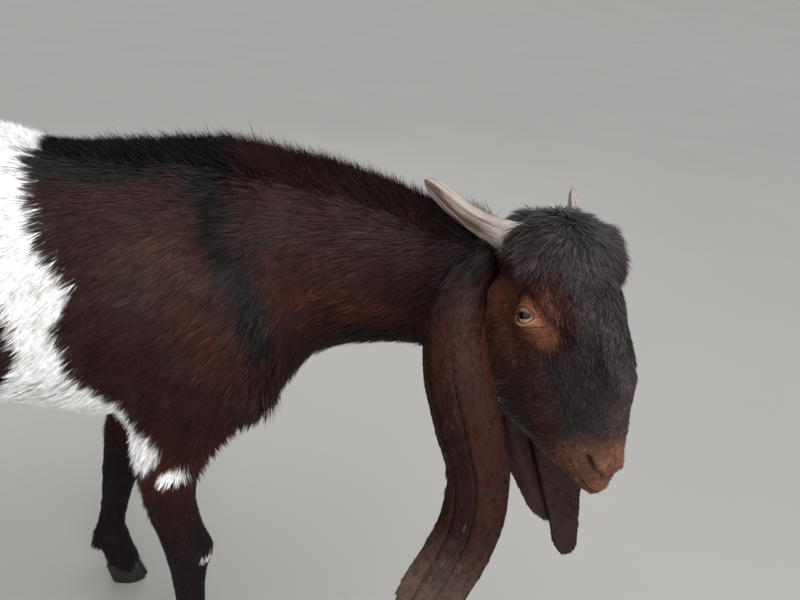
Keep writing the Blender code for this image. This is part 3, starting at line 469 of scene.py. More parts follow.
def headSkin():
    forms = [skullForm()]
    for centre, radii, turn, paired in headOvals:
        forms += bothSides(centre, radii, turn) if paired else [ovalForm(centre, radii, turn)]
    broad = fused(meshFrom("broad", forms), 0.0038, 24)
    x, y, z = eyeLook["at"]
    forms = [formsOf(broad)]
    forms += bothSides((x, y - 0.0015, z), (0.0185, 0.0168, 0.0160))
    forms += bothSides((0.129, 0.0105, -0.047), (0.0110, 0.0070, 0.0115), (0, 40, 0))
    forms = [(toGoat(points), faces) for points, faces in forms]
    forms.append(spineForm(neckRows, 32, first=0.62))
    made = fused(meshFrom("headSkin", forms), skinLook["headVoxel"], 6)
    form = bmesh.new()
    form.from_mesh(made.data)
    form.verts.ensure_lookup_table()
    ahead = toHead(pointsOf(made.data))[:, 0]
    for nearest, rounds in ((0.085, 14), (0.100, 26)):
        chosen = [form.verts[k] for k in np.flatnonzero(ahead > nearest)]
        for _ in range(rounds):
            bmesh.ops.smooth_vert(form, verts=chosen, factor=0.5, use_axis_x=True, use_axis_y=True, use_axis_z=True)
    form.to_mesh(made.data)
    form.free()
    return made


def refine(mesh, wanted, cuts):
    # Splits the faces whose middles a test picks out, so that lids and lips have points enough
    form = bmesh.new()
    form.from_mesh(mesh)
    middles = toHead([face.calc_center_median() for face in form.faces])
    chosen = [face for face, pick in zip(form.faces, wanted(middles)) if pick]
    edges = {edge for face in chosen for edge in face.edges}
    bmesh.ops.subdivide_edges(form, edges=list(edges), cuts=cuts, use_grid_fill=True)
    form.to_mesh(mesh)
    form.free()


def eyeAxes(side):
    # Along the slit toward the nose, up, and the way the eye looks
    a, b, c = (math.radians(eyeLook[name]) for name in ("forward", "up", "tilt"))
    out = np.array((math.sin(a) * math.cos(b), math.cos(a) * math.cos(b), math.sin(b)))
    fore = np.array((math.cos(a), -math.sin(a), 0.0))
    upward = np.cross(fore, out)
    fore, upward = fore * math.cos(c) + upward * math.sin(c), upward * math.cos(c) - fore * math.sin(c)
    mirror = np.array((1, side, 1))
    return fore * mirror, upward * mirror, out * mirror


def eyeDistance(points, side):
    # In the eye's own plane: place along and up the slit, in shares of its half sizes, and depth outwards
    wide, above, below = eyeLook["slit"]
    fore, upward, out = eyeAxes(side)
    arm = points - np.array(eyeLook["at"]) * (1, side, 1)
    high = arm @ upward
    return (arm @ fore + eyeLook["offset"]) / wide, high / np.where(high > 0, above, below), arm @ out


def lineDistance(points, line):
    # The shortest way from each point to a line of straight parts
    line = np.array(line, float)
    nearest = np.full(len(points), 9.0)
    for a, b in zip(line, line[1:]):
        along = np.clip((points - a) @ (b - a) / ((b - a) @ (b - a)), 0, 1)
        nearest = np.minimum(nearest, np.linalg.norm(points - a - along[:, None] * (b - a), axis=1))
    return nearest


def foldDepth(u, v, sharp=1.0):
    # The folds of the lids, as a depth in millimetres
    wide, above, below = eyeLook["slit"]
    flat = np.stack([u * wide, v * np.where(v > 0, above, below)], 1) * 1000
    depth = np.zeros(len(u))
    for line, width, deep in lidFolds:
        depth = np.maximum(depth, deep * np.exp(-((lineDistance(flat, line) / (width * sharp)) ** 2)))
    return depth


nostrilLook = {
    "line": ((0.1222, 0.0154, -0.0484), (0.1250, 0.0152, -0.0488), (0.1290, 0.0147, -0.0488), (0.1335, 0.0137, -0.0482),
             (0.1368, 0.0112, -0.0490), (0.1388, 0.0075, -0.0520), (0.1396, 0.0035, -0.0568)),
    "ridge": ((0.1297, 0.0133, -0.0396), (0.1349, 0.0109, -0.0408), (0.1379, 0.0050, -0.0470)),
    "depth": 0.0042,
}


def nostrilShare(points, side, sharp=1.0):
    # How deep in the nostril's slit, which is widest at its upper end, and how near the pale ridge beside it
    mirror = points * (1, side, 1)
    width = (0.0019 + 0.0010 * ramp(0.137, 0.124, mirror[:, 0])) * sharp
    slit = np.exp(-((lineDistance(mirror, nostrilLook["line"]) / width) ** 2))
    ridge = np.exp(-((lineDistance(mirror, nostrilLook["ridge"]) / 0.0030) ** 2))
    return slit, ridge * (1 - slit)


def lipLine(x):
    return np.interp(x, [0.075, 0.098, 0.106, 0.120, 0.131, 0.143], [-0.068, -0.066, -0.067, -0.0715, -0.073, -0.073])


def shapeHead(mesh):
    # Opens the eyes, folds the lids and draws the mouth and nostrils into the fused head
    points = toHead(pointsOf(mesh))
    x, y, z = eyeLook["at"]
    radius = eyeLook["radius"]
    for side in (1, -1):
        centre = np.array((x, y * side, z))
        arm = points - centre
        distance = np.linalg.norm(arm, axis=1)
        u, v, reach = eyeDistance(points, side)
        near = (distance < 0.030) & (reach > 0.002)
        lens = np.sqrt(u**2 + np.abs(v / (1 - 0.25 * np.clip(np.abs(u), 0, 1))) ** 2)
        inside = near & (lens < 1.0)
        ring = near & (lens >= 1.0)
        target = centre + unit(arm) * (radius - 0.0012)
        blendIn = ramp(1.0, 0.82, lens)[:, None]
        points = np.where(inside[:, None], points * (1 - blendIn) + target * blendIn, points)
        # The lids stay outside the eyeball and stand a little thick at their edge
        rim = np.exp(-(((lens - 1.12) / 0.22) ** 2))
        wall = radius + 0.0013 + 0.0009 * rim
        close = ring & (distance < wall)
        points = np.where(close[:, None], centre + unit(arm) * wall[:, None], points)
        lift = 0.0012 * rim * ring
        fold = foldDepth(u, v)
        swell = foldDepth(u, v, 2.4) - fold
        points += unit(arm) * (lift + 0.001 * (0.35 * swell - fold) * ring)[:, None]
    # The mouth runs round the muzzle, with a low swelling of the lips above and below it
    off = points[:, 2] - lipLine(points[:, 0])
    share = ramp(0.080, 0.096, points[:, 0])
    inward = unit(np.stack([-(points[:, 0] - 0.095), -points[:, 1], np.zeros(len(points))], 1))
    points += inward * (share * (0.0020 * np.exp(-((off / 0.0012) ** 2))
                                 - 0.0006 * np.exp(-(((np.abs(off) - 0.0040) / 0.0022) ** 2))))[:, None]
    for side in (1, -1):
        slit, _ = nostrilShare(points, side)
        inward = unit(np.array((0.112, 0.0, -0.052)) - points)
        points += inward * (nostrilLook["depth"] * slit)[:, None]
    setPoints(mesh, toGoat(points))


def earSection(curl, fold, width, count):
    spots = np.linspace(-0.5, 0.5, count)
    bend = np.radians(curl) + np.radians(fold) * np.exp(-(((spots - 0.24) / 0.09) ** 2)) / 0.16
    turn = np.concatenate([[0], np.cumsum((bend[1:] + bend[:-1]) / 2 * np.diff(spots))])
    turn -= np.interp(0.0, spots, turn)
    angle = (turn[1:] + turn[:-1]) / 2
    step = width / (count - 1)
    aside = np.concatenate([[0], np.cumsum(step * np.cos(angle))])
    out = np.concatenate([[0], np.cumsum(-step * np.sin(angle))])
    aside -= np.interp(0.0, spots, aside)
    out -= np.interp(0.0, spots, out)
    return aside, out, spots


def earSkin(word):
    # A leaf with two faces: returns its points, faces and each point's place along, across and which face
    across, alongCount = earLook["across"], earLook["along"]
    rows = smoothRows(earRows[word], alongCount)
    steps = unit(np.gradient(rows[:, :3], axis=0))
    sheet, facings = [], []
    for k, (row, step) in enumerate(zip(rows, steps)):
        facing = unit(row[3:6] - step * row[3:6].dot(step))
        aside = np.cross(facing, step)
        t = k / (alongCount - 1)
        width = earLook["width"] * row[8]
        ending = 0.84 if word == "right" else 0.93
        tip = math.sqrt(max(1 - (max(t - ending, 0) / (1.002 - ending)) ** 2, 0.02))
        u, v, spots = earSection(row[6], row[7], width * (tip if word == "right" else 1), across)
        for place, wide, deep in earLook["grooves"] if word == "right" else ():
            deep = deep * ramp(0.22, 0.40, t) * ramp(1.0, 0.85, t)
            place = place + 0.02 * math.sin(7 * t)
            v = v - deep * (bump(place, wide, spots) - 0.5 * bump(place + 2.4 * wide, 1.5 * wide, spots))
        edgeWave = 0.0014 * np.sin(7 * t * 2 * math.pi) * np.abs(spots * 2) ** 3 * ramp(0.3, 0.6, t)
        if word == "left":  # the broad part ends above the folded strip, which hangs in front of it
            share = math.sqrt(max(1 - (max(t - 0.72, 0) / 0.155) ** 2, 0.0))
            broad = spots > earLook["strip"]
            at = np.interp(earLook["strip"], spots, u), np.interp(earLook["strip"], spots, v)
            u = np.where(broad, at[0] + (u - at[0]) * (0.06 + 0.94 * share), u)
            v = np.where(broad, at[1] + (v - at[1]) * (0.06 + 0.94 * share), v)
            v = v - 0.0075 * ramp(0.07, 0.02, spots) * ramp(0.35, 0.55, t)
            middle = np.interp(-0.22, spots, u), np.interp(-0.22, spots, v)
            u, v = middle[0] + (u - middle[0]) * tip, middle[1] + (v - middle[1]) * tip
        if word == "right":  # a nick in the rear edge with a small flap over it
            u = u + (0.0050 * bump(0.575, 0.008, t) - 0.0016 * bump(0.556, 0.007, t)) * ramp(-0.43, -0.5, spots)
        sheet.append(row[:3] + u[:, None] * aside + (v + edgeWave)[:, None] * facing)
        facings.append(np.tile(facing, (across, 1)))
    sheet = np.array(sheet)
    du = np.gradient(sheet, axis=1)
    dv = np.gradient(sheet, axis=0)
    normal = unit(np.cross(dv, du))
    if np.sum(normal * np.array(facings)) < 0:
        normal = -normal
    t, s = np.meshgrid(np.linspace(0, 1, alongCount), np.linspace(-0.5, 0.5, across), indexing="ij")
    edge = 1 - np.abs(2 * s) ** 8
    half = earLook["thick"] / 2 * (0.35 + 0.65 * edge) * ramp(1.02, 0.93, t) + 0.0003
    outer = sheet + normal * half[..., None]
    inner = sheet - normal * half[..., None]
    points = np.vstack([outer.reshape(-1, 3), inner.reshape(-1, 3)])
    places = np.vstack([
        np.stack([t.ravel(), s.ravel(), np.ones(t.size)], 1),
        np.stack([t.ravel(), s.ravel(), np.zeros(t.size)], 1),
    ])
    count = alongCount * across
    faces = []
    for i in range(alongCount - 1):
        for j in range(across - 1):
            a, b = i * across + j, (i + 1) * across + j
            faces.append((a, a + 1, b + 1, b))
            faces.append((count + a, count + b, count + b + 1, count + a + 1))
    border = [j for j in range(across)] + [i * across + across - 1 for i in range(1, alongCount)]
    border += [(alongCount - 1) * across + j for j in range(across - 2, -1, -1)]
    border += [i * across for i in range(alongCount - 2, 0, -1)]
    for a, b in zip(border, border[1:] + border[:1]):
        faces.append((b, a, count + a, count + b))
    return points, faces, places


# Markings: where the coat is black, mahogany, rust, brown or white

coatColours = {
    "mahogany": "#281312",
    "brown": "#281817",
    "black": "#0d0b0d",
    # crown: the black hair of the crown painted cool grey, painted sheen
    "crown": "#2f2c31",
    "rust": "#462014",
    "chestnut": "#30160f",
    "tan": "#8a5642",
    "lid": "#a98062",
    "lidTop": "#85523f",
    # dustAndSheen: a dusty grey, used for real dust and, laid thinly on the shoulders and the whole head, as painted
    # sheen
    "dustAndSheen": "#8c7a70",
    "muzzle": "#6a4535",
    "white": "#f4f2ef",
    "pinkGrey": "#30201f",
}
coatLinear = {name: linearColour(text) for name, text in coatColours.items()}


def mixed(base, name, share):
    share = np.clip(share, 0, 1)[:, None]
    return base * (1 - share) + coatLinear[name] * share


def bodyMarks(points):
    x, y, z = points.T
    wander = cloud(points, 0.05, 1.0)
    fine = cloud(points, 0.014, 2.0, 2)
    colour = np.tile(coatLinear["mahogany"], (len(points), 1))
    colour = mixed(colour, "brown", ramp(-0.2, 0.5, wander))
    # Warm shoulder and lower neck
    side = np.abs(y)
    rust = 0.75 * bump(0.0, 0.026, x + 0.192 + 0.55 * (z - 0.575)) * bump(0.570, 0.050, z)
    rust += 0.65 * bump(-0.085, 0.050, x) * bump(0.615, 0.045, z) + 0.8 * bump(0.00, 0.07, x) * bump(0.585, 0.032, z)
    rust += 0.30 * bump(-0.240, 0.05, x) * bump(0.650, 0.03, z)
    colour = mixed(colour, "rust", rust * (0.65 + 0.5 * fine) * ramp(0.02, 0.05, side))
    # Dark stripe along the back and neck; painted shade in the crease in front of the shoulder and under the neck
    top = np.interp(x, [row[0] for row in crestRows], [row[2] for row in crestRows])
    middle = np.interp(x, [row[0] for row in crestRows], [row[1] for row in crestRows])
    stripe = ramp(0.044, 0.022, top - z + 0.010 * wander) * ramp(0.075, 0.045, np.abs(y - middle))
    colour = mixed(colour, "black", stripe * (0.95 - 0.50 * ramp(-0.22, -0.14, x)))
    crease = np.interp(z, [0.55, 0.573, 0.606, 0.645, 0.70], [-0.134, -0.139, -0.148, -0.168, -0.198])
    creaseWidth = np.interp(z, [0.56, 0.70], [0.010, 0.021])
    # The crease in front of the shoulder is painted black: painted shade
    creaseShade = bump(0.0, 1.0, (x - crease + 0.006 * wander) / creaseWidth) * ramp(0.53, 0.57, z)
    colour = mixed(colour, "black", 1.25 * creaseShade)
    # The underside of the neck is painted darker: painted shade under the neck
    colour = mixed(colour, "black", 0.74 * bump(0.0, 0.10, x) * ramp(0.615, 0.570, z))
    # A thin grey on the shoulders: painted sheen
    colour = mixed(colour, "dustAndSheen", 0.07 * bump(-0.24, 0.06, x) * bump(0.62, 0.05, z))
    chest = ramp(-0.16, -0.12, x) * ramp(0.52, 0.47, z)
    colour = mixed(colour, "brown", chest * 0.7)
    # Legs darken downwards
    colour = mixed(colour, "rust", 0.30 * bump(0.385, 0.055, z))
    colour = mixed(colour, "black", ramp(0.37, 0.22, z) * 0.72)
    # White belt behind the shoulders, white belly, dark quarters
    jag = 0.006 * wander + 0.005 * fine
    frontEdge = np.interp(z, [0.400, 0.421, 0.444, 0.454, 0.466, 0.481, 0.500, 0.561, 0.605, 0.640, 0.685,
                              0.710, 0.735],
                          [-0.258, -0.250, -0.256, -0.275, -0.294, -0.310, -0.332, -0.340, -0.328, -0.345, -0.367,
                           -0.384, -0.388])
    frontEdge = frontEdge + np.interp(z, [0.40, 0.47, 0.56], [-0.075, -0.050, 0.0]) * ramp(-0.02, 0.03, y)
    backEdge = np.interp(z, [0.40, 0.45, 0.48, 0.50, 0.53, 0.565, 0.60, 0.64, 0.70, 0.74],
                         [-0.560, -0.450, -0.405, -0.389, -0.379, -0.381, -0.396, -0.436, -0.490, -0.510])
    belt = ramp(0.003, -0.003, x - frontEdge + jag) * ramp(-0.003, 0.003, x - backEdge + jag)
    onTrunk = ramp(0.385, 0.395, z) * ramp(-0.76, -0.74, x)
    belly = ramp(0.455, 0.445, z + jag) * ramp(-0.238, -0.244, x + jag) * onTrunk * ramp(0.10, 0.07, side)
    colour = mixed(colour, "white", np.maximum(belt * ramp(0.395, 0.405, z + jag), belly))
    # A tuft on the near forearm and a spot on the knee are white too
    tuft = bump(0.0, 0.014, x + 0.237 - 0.5 * (z - 0.380)) * bump(0.383, 0.014, z) * (y < -0.05)
    colour = mixed(colour, "white", ramp(0.36, 0.60, tuft + 0.25 * fine * (tuft > 0.1)))
    knee = bump(-0.212, 0.0050, x) * bump(0.231, 0.0058, z) * (y < -0.05)
    colour = mixed(colour, "white", ramp(0.45, 0.75, knee + 0.2 * fine * (knee > 0.1)) * 0.8)
    shade = 1 + 0.16 * cloud(points, 0.03, 5.0, 3)
    return colour * shade[:, None]


def headMarks(points):
    # points in the head's frame
    x, y, z = points.T
    wander = cloud(points, 0.03, 3.0)
    fine = cloud(points, 0.008, 4.0, 2)
    side = np.abs(y)
    colour = np.tile(coatLinear["brown"], (len(points), 1))
    colour = mixed(colour, "mahogany", ramp(0.05, 0.0, x))
    blaze = ramp(-0.034, -0.004, z + 0.30 * x - 0.55 * (side - 0.02) + 0.010 * wander)
    colour = mixed(colour, "black", 0.80 * blaze * ramp(0.118, 0.095, x + 0.4 * (z + 0.03)))
    # The blaze turns cool grey on the crown and brow: painted sheen on black hair
    colour = mixed(colour, "crown", blaze * (0.30 + 0.70 * ramp(0.010, -0.030, x)))
    # A thin grey over the whole head: painted sheen on the short hair
    colour = mixed(colour, "dustAndSheen", np.full(len(points), 0.045))
    ex, _, ez = eyeLook["at"]
    onSide = ramp(0.016, 0.028, side)
    brow = np.sqrt(((x - ex + 0.008) / 1.2) ** 2 + (z - ez - 0.008) ** 2)
    colour = mixed(colour, "chestnut", ramp(0.050, 0.028, brow + 0.005 * wander) * onSide)
    colour = mixed(colour, "rust", 0.55 * ramp(0.036, 0.016, brow + 0.004 * wander) * onSide)
    colour = mixed(colour, "brown", 0.65 * ramp(0.004, 0.022, z) * ramp(-0.004, -0.020, x) * onSide)
    patch = ramp(0.025, 0.011, np.sqrt(((x - ex - 0.004) / 1.25) ** 2 + (z - ez + 0.003) ** 2) + 0.002 * wander)
    colour = mixed(colour, "tan", patch * onSide)
    cheek = bump(-0.012, 0.028, x) * bump(-0.050, 0.034, z)
    colour = mixed(colour, "rust", 0.95 * cheek * onSide * (0.85 + 0.3 * wander))
    colour = mixed(colour, "tan", 0.16 * cheek * onSide)
    behind = bump(-0.030, 0.022, x) * bump(-0.028, 0.022, z) * onSide
    colour = mixed(mixed(colour, "rust", 0.7 * behind), "tan", 0.42 * behind)
    snout = ramp(0.090, 0.120, x - 0.35 * (z + 0.06) + 0.010 * wander + 0.004 * fine)
    colour = mixed(colour, "muzzle", snout * ramp(0.004, -0.022, z) * (0.86 + 0.20 * fine))
    colour = mixed(colour, "brown", 0.5 * snout * ramp(-0.072, -0.085, z))
    colour = mixed(colour, "dustAndSheen", 0.5 * snout * ramp(0.62, 0.74, cloud(points, 0.0022, 15.0, 1)))
    colour = mixed(colour, "chestnut", 0.5 * bump(0.085, 0.02, x) * ramp(-0.05, -0.07, z))
    # The mouth, the nostrils and the eyelids' edges; the mouth's line, the nostrils' slits and the lids' folds are
    # painted dark as painted shade, and the ridges between the folds pale as painted highlights
    mouth = np.exp(-(((z - lipLine(x)) / 0.0012) ** 2))
    # The lips' groove is painted black: painted shade
    colour = mixed(colour, "black", mouth * (0.30 * ramp(0.080, 0.096, x) + 0.42 * ramp(0.112, 0.126, x)))
    for word in (1, -1):
        slit, ridge = nostrilShare(points, word, 1.35)
        # The nostril's slit is painted black: painted shade in the opening
        colour = mixed(colour, "black", slit)
        colour = mixed(colour, "tan", ridge * 0.15)
        u, v, reach = eyeDistance(points, word)
        lens = np.sqrt(u**2 + v**2)
        front = reach > 0.002
        lid = np.exp(-(((lens - 1.15) / 0.16) ** 2)) * front
        colour = mixed(colour, "lid", lid * ramp(0.3, -0.4, v + 0.3 * u))
        colour = mixed(colour, "lidTop", lid * ramp(-0.4, 0.3, v))
        near = front * ramp(3.6, 2.6, lens)
        # Painted shade in the lids' folds
        colour = mixed(colour, "black", 0.75 * np.clip(foldDepth(u, v), 0, 1) * near)
        # Painted highlights on the ridges between the folds
        colour = mixed(colour, "lid", 0.35 * np.clip(foldDepth(u, v, 2.2) - foldDepth(u, v, 1.3), 0, 1) * near)
        colour = mixed(colour, "black", ramp(1.02, 0.90, lens) * front)
    shade = 1 + 0.14 * cloud(points, 0.02, 6.0, 3)
    return colour * shade[:, None]


def earMarks(word, places, points):
    t, s, outer = places.T
    wander = cloud(points, 0.03, 7.0)
    colour = np.tile(coatLinear["chestnut"], (len(points), 1))
    colour = mixed(colour, "black", ramp(0.30, 0.06, t + 0.10 * s) * 0.8)
    if word == "right":
        panel = ramp(-0.25, -0.20, s + 0.01 * wander) * ramp(0.10, 0.02, s + 0.02 * wander) * ramp(0.30, 0.48, t)
        colour = mixed(colour, "black", 0.50 * panel)
        # Each groove is painted dark in proportion to its depth: painted shade in the grooves
        for place, wide, deep in earLook["grooves"]:
            line = bump(place + 0.02 * np.sin(7 * t), wide, s + 0.004 * wander)
            colour = mixed(colour, "black", 190 * deep * line * ramp(0.25, 0.45, t))
        speck = ramp(0.60, 0.72, cloud(points, 0.0024, 9.0, 1)) * bump(-0.08, 0.20, s) * bump(0.62, 0.22, t)
        colour = mixed(colour, "dustAndSheen", 0.8 * speck)
    else:
        # The broad part behind the folded strip is painted darker and the strip lighter: painted shade from the fold
        colour = mixed(colour, "black", 0.60 * ramp(0.02, 0.07, s) * ramp(0.2, 0.4, t))
        colour = mixed(colour, "mahogany", 0.6 * ramp(0.05, 0.0, s) * ramp(0.4, 0.5, t))
        colour = mixed(colour, "brown", 0.35 * ramp(0.4, 0.5, t))
    colour = mixed(colour, "black", 0.40 * ramp(0.34, 0.48, np.abs(s) + 0.02 * wander) * ramp(0.3, 0.5, t))
    colour = mixed(colour, "brown", 0.8 * ramp(0.1, 0.5, wander))
    colour = mixed(colour, "pinkGrey", (1 - outer) * 0.7)
    colour = mixed(colour, "dustAndSheen", (0.24 if word == "right" else 0.03) * ramp(0.66, 0.90, t))
    shade = 1 + 0.16 * cloud(points, 0.02, 8.0, 3)
    return colour * shade[:, None]


# How the coat lies: direction, length, lift and depth for each point of the skin

def bodyLie(points, normals):
    x, y, z = points.T
    count = len(points)
    way = np.tile((-1.0, 0.0, -0.30), (count, 1))
    low = ramp(0.71, 0.62, z)[:, None]
    way = way * (1 - low) + np.array((-0.72, 0.0, -0.70)) * low
    low = (ramp(0.60, 0.50, z) * ramp(-0.34, -0.28, x))[:, None]
    way = way * (1 - low) + np.array((-0.62, 0.0, -0.85)) * low
    foot = ramp(0.46, 0.36, z)[:, None]
    way = way * (1 - foot) + np.array((-0.12, 0.0, -1.0)) * foot
    belly = (ramp(0.0, -0.6, normals[:, 2]) * ramp(0.38, 0.40, z))[:, None]
    way = way * (1 - belly) + np.array((-1.0, 0.0, -0.2)) * belly
    neck = ramp(-0.13, -0.07, x)[:, None]
    way = way * (1 - neck) + np.array((-0.90, 0.30, -0.50)) * neck
    breast = (ramp(-0.19, -0.14, x) * ramp(0.54, 0.50, z))[:, None]
    way = way * (1 - breast) + np.array((-0.25, 0.0, -1.0)) * breast
    rump = ramp(-0.72, -0.80, x)[:, None]
    way = way * (1 - rump) + np.array((-0.45, 0.0, -1.0)) * rump
    fan = (ramp(0.25, 0.55, bump(-0.239, 0.020, x) * bump(0.378, 0.020, z)) * (y < -0.05))[:, None]
    way = way * (1 - fan) + np.stack([-0.75 - 30 * (x + 0.239), np.zeros(count), -1.0 + 10 * (z - 0.378)], 1) * fan
    front = ramp(0.1, 0.6, normals[:, 0]) * ramp(0.355, 0.38, z) * ramp(0.48, 0.45, z) * ramp(-0.32, -0.28, x)
    way = way * (1 - front[:, None]) + np.array((0.40, 0.0, -1.0)) * front[:, None]
    swirl = cloud(points, 0.07, 11.0, 2)
    way = way + 0.30 * np.cross(normals, way) * swirl[:, None]

    length = np.full(count, 0.020)
    length = np.where(x > -0.12, 0.023, length)
    length = length + (0.028 - length) * np.clip(belly[:, 0], 0, 1)
    length = length + (0.030 - length) * breast[:, 0]
    length = length + (0.0095 - length) * ramp(0.45, 0.34, z)
    length = length + (0.0065 - length) * ramp(0.27, 0.20, z)
    rear = ramp(0.1, -0.6, normals[:, 0])
    fringe = rear * ramp(0.27, 0.32, z) * ramp(0.46, 0.42, z) * (x > -0.6)
    length = length + (0.022 - length) * fringe
    length = length + (0.028 - length) * front
    # Longer hair behind the fetlock and pastern, over the hoof's edge, in the white tuft and behind the elbow
    feather = rear * ramp(0.030, 0.040, z) * ramp(0.125, 0.100, z)
    length = length + (0.017 - length) * feather
    coronet = ramp(0.056, 0.046, z)
    length = length + (0.011 - length) * coronet * (1 - feather)
    tuft = bump(-0.239, 0.018, x) * bump(0.378, 0.018, z) * (y < -0.05)
    length = length + (0.020 - length) * ramp(0.3, 0.6, tuft)
    elbow = ramp(-0.40, -0.33, x) * ramp(-0.24, -0.27, x) * ramp(0.385, 0.40, z) * ramp(0.50, 0.44, z)
    elbow = elbow * ramp(0.04, 0.07, -y)
    length = length + (0.030 - length) * elbow
    tail = ramp(-0.868, -0.88, x)
    length = length + (0.034 - length) * tail
    middle = np.interp(x, [row[0] for row in crestRows], [row[1] for row in crestRows])
    top = np.interp(x, [row[0] for row in crestRows], [row[2] for row in crestRows])
    ridge = ramp(0.030, 0.010, np.abs(y - middle)) * ramp(0.055, 0.040, top - z) * ramp(-0.84, -0.80, x)
    lift = np.full(count, 0.20)
    lift = lift + (0.30 - lift) * neck[:, 0] * 0.6
    lift = lift + (0.42 - lift) * np.clip(breast[:, 0] + belly[:, 0] * 0.3, 0, 1)
    lift = lift + (0.30 - lift) * ramp(0.40, 0.30, z)
    lift = lift + (0.40 - lift) * np.clip(feather + 0.8 * fringe + elbow, 0, 1)
    lift = lift + (0.55 - lift) * front
    lift = lift + (0.34 - lift) * tail
    depth = np.minimum(0.0003 + 0.62 * length * lift, 0.0070)
    depth = depth * (1 - 0.35 * ramp(0.30, 0.22, z))
    depth = depth * (1 - 0.6 * ramp(0.040, 0.030, z))
    return way, length, lift, depth, ridge


def headLie(points, normals):
    # In the head's frame
    x, y, z = points.T
    side = np.abs(y)
    count = len(points)
    way = np.stack([np.full(count, -0.45), np.zeros(count), np.full(count, -0.9)], 1)
    face = ramp(-0.045, 0.0, z + 0.25 * x - 0.3 * (side - 0.02))[:, None]
    down = np.stack([np.full(count, 1.0), np.sign(y) * 0.25, np.full(count, -0.30)], 1)
    way = way * (1 - face) + down * face
    crown = ramp(-0.005, -0.035, x)[:, None] * ramp(-0.01, 0.02, z)[:, None]
    spread = np.stack([0.35 + (x + 0.055) * 12, y * 26, np.full(count, -0.1)], 1)
    way = way * (1 - crown) + spread * crown
    snout = ramp(0.09, 0.12, x)[:, None]
    way = way * (1 - snout) + np.stack([np.full(count, -0.5), np.sign(y) * 0.4, np.full(count, -0.7)], 1) * snout
    swirl = cloud(points, 0.03, 12.0, 2)
    way = way + 0.35 * np.cross(normals, way) * swirl[:, None]
    length = 0.0068 + 0.0040 * ramp(-0.05, 0.01, z) * ramp(0.10, 0.03, x) + 0.009 * crown[:, 0]
    length = length + (0.0040 - length) * ramp(0.06, 0.12, x)
    ex, _, ez = eyeLook["at"]
    around = np.sqrt((x - ex) ** 2 + (z - ez) ** 2)
    length = length + (0.0030 - length) * ramp(0.034, 0.018, around) * ramp(0.018, 0.028, side)
    length = length + (0.016 - length) * ramp(-0.07, -0.09, x)
    throat = ramp(0.0, -0.5, normals[:, 2]) * ramp(0.085, 0.04, x) * ramp(-0.05, -0.08, z)
    length = length + (0.022 - length) * throat
    lift = np.full(count, 0.28) + 0.10 * crown[:, 0] + 0.16 * throat
    depth = (0.0002 + 0.5 * length * lift) * (1 - 0.4 * crown[:, 0]) * (1 - 0.6 * throat)
    depth = depth * (0.25 + 0.75 * ramp(0.016, 0.030, around + 10 * (side < 0.02)))
    return way, length, lift, depth


# Build the skin

jointAt = np.array((0.070, -0.064, 0.631))
jointWay = unit(np.array((0.86, -0.46, 0.22)))


def beyondJoint(points):
    # How far points lie toward the head from the ring round the neck where the two skins meet
    return (np.asarray(points) - jointAt) @ jointWay


print("skin: fusing body and head")
body = bodySkin()
head = headSkin()


def detailZone(middles):
    ex, _, ez = eyeLook["at"]
    eye = (np.hypot(middles[:, 0] - ex, middles[:, 2] - ez) < 0.030) & (np.abs(middles[:, 1]) > 0.026)
    lips = (middles[:, 0] > 0.076) & (np.abs(middles[:, 2] - lipLine(middles[:, 0])) < 0.009)
    nose = (middles[:, 0] > 0.116) & (middles[:, 2] > -0.058) & (middles[:, 2] < -0.030)
    return eye | lips | nose


def lidZone(middles):
    ex, _, ez = eyeLook["at"]
    return (np.hypot(middles[:, 0] - ex, middles[:, 2] - ez) < 0.024) & (np.abs(middles[:, 1]) > 0.030)


def nostrilZone(middles):
    mirror = np.abs(middles[:, 1])
    near = lineDistance(np.stack([middles[:, 0], mirror, middles[:, 2]], 1), nostrilLook["line"]) < 0.007
    return near | ((middles[:, 0] > 0.085) & (np.abs(middles[:, 2] - lipLine(middles[:, 0])) < 0.004))


bodyPoints = pointsOf(body.data)
bodyNormals = normalsOf(body.data)
bodyWay, bodyLength, bodyLift, bodyDepth, bodyRidge = bodyLie(bodyPoints, bodyNormals)
bodyColour = bodyMarks(bodyPoints)
bodyDepth = bodyDepth + 0.012 * ramp(0.012, 0.040, beyondJoint(bodyPoints))
setPoints(body.data, bodyPoints - bodyNormals * bodyDepth[:, None])

headPoints = toHead(pointsOf(head.data))
headNormals = normalsOf(head.data) @ headTurnArray
_, _, _, headDepth = headLie(headPoints, headNormals)
beyond = beyondJoint(pointsOf(head.data))
headDepth = headDepth + (0.0046 - headDepth) * ramp(0.05, 0.0, beyond) + 0.012 * ramp(-0.010, -0.040, beyond)
setPoints(head.data, toGoat(headPoints - headNormals * headDepth[:, None]))
refine(head.data, detailZone, 1)
refine(head.data, lidZone, 1)
refine(head.data, nostrilZone, 1)
shapeHead(head.data)
headPoints = toHead(pointsOf(head.data))
headNormals = normalsOf(head.data) @ headTurnArray
headWay, headLength, headLift, _ = headLie(headPoints, headNormals)
headColour = headMarks(headPoints)
print("skin:", len(body.data.polygons), "body and", len(head.data.polygons), "head faces")

# Near its end the head's mesh is neck, and is marked and combed as the body is
joint = ramp(0.055, 0.010, beyondJoint(toGoat(headPoints)))[:, None]
neckWay, neckLength, neckLift, _, _ = bodyLie(toGoat(headPoints), headNormals @ headTurnArray.T)
headWay = unit(headWay) @ headTurnArray.T * (1 - joint) + unit(neckWay) * joint
headLength = headLength * (1 - joint[:, 0]) + neckLength * joint[:, 0]
headLift = headLift * (1 - joint[:, 0]) + neckLift * joint[:, 0]
headColour = headColour * (1 - joint) + bodyMarks(toGoat(headPoints)) * joint
headNormals = headNormals @ headTurnArray.T

ears = {word: earSkin(word) for word in ("right", "left")}


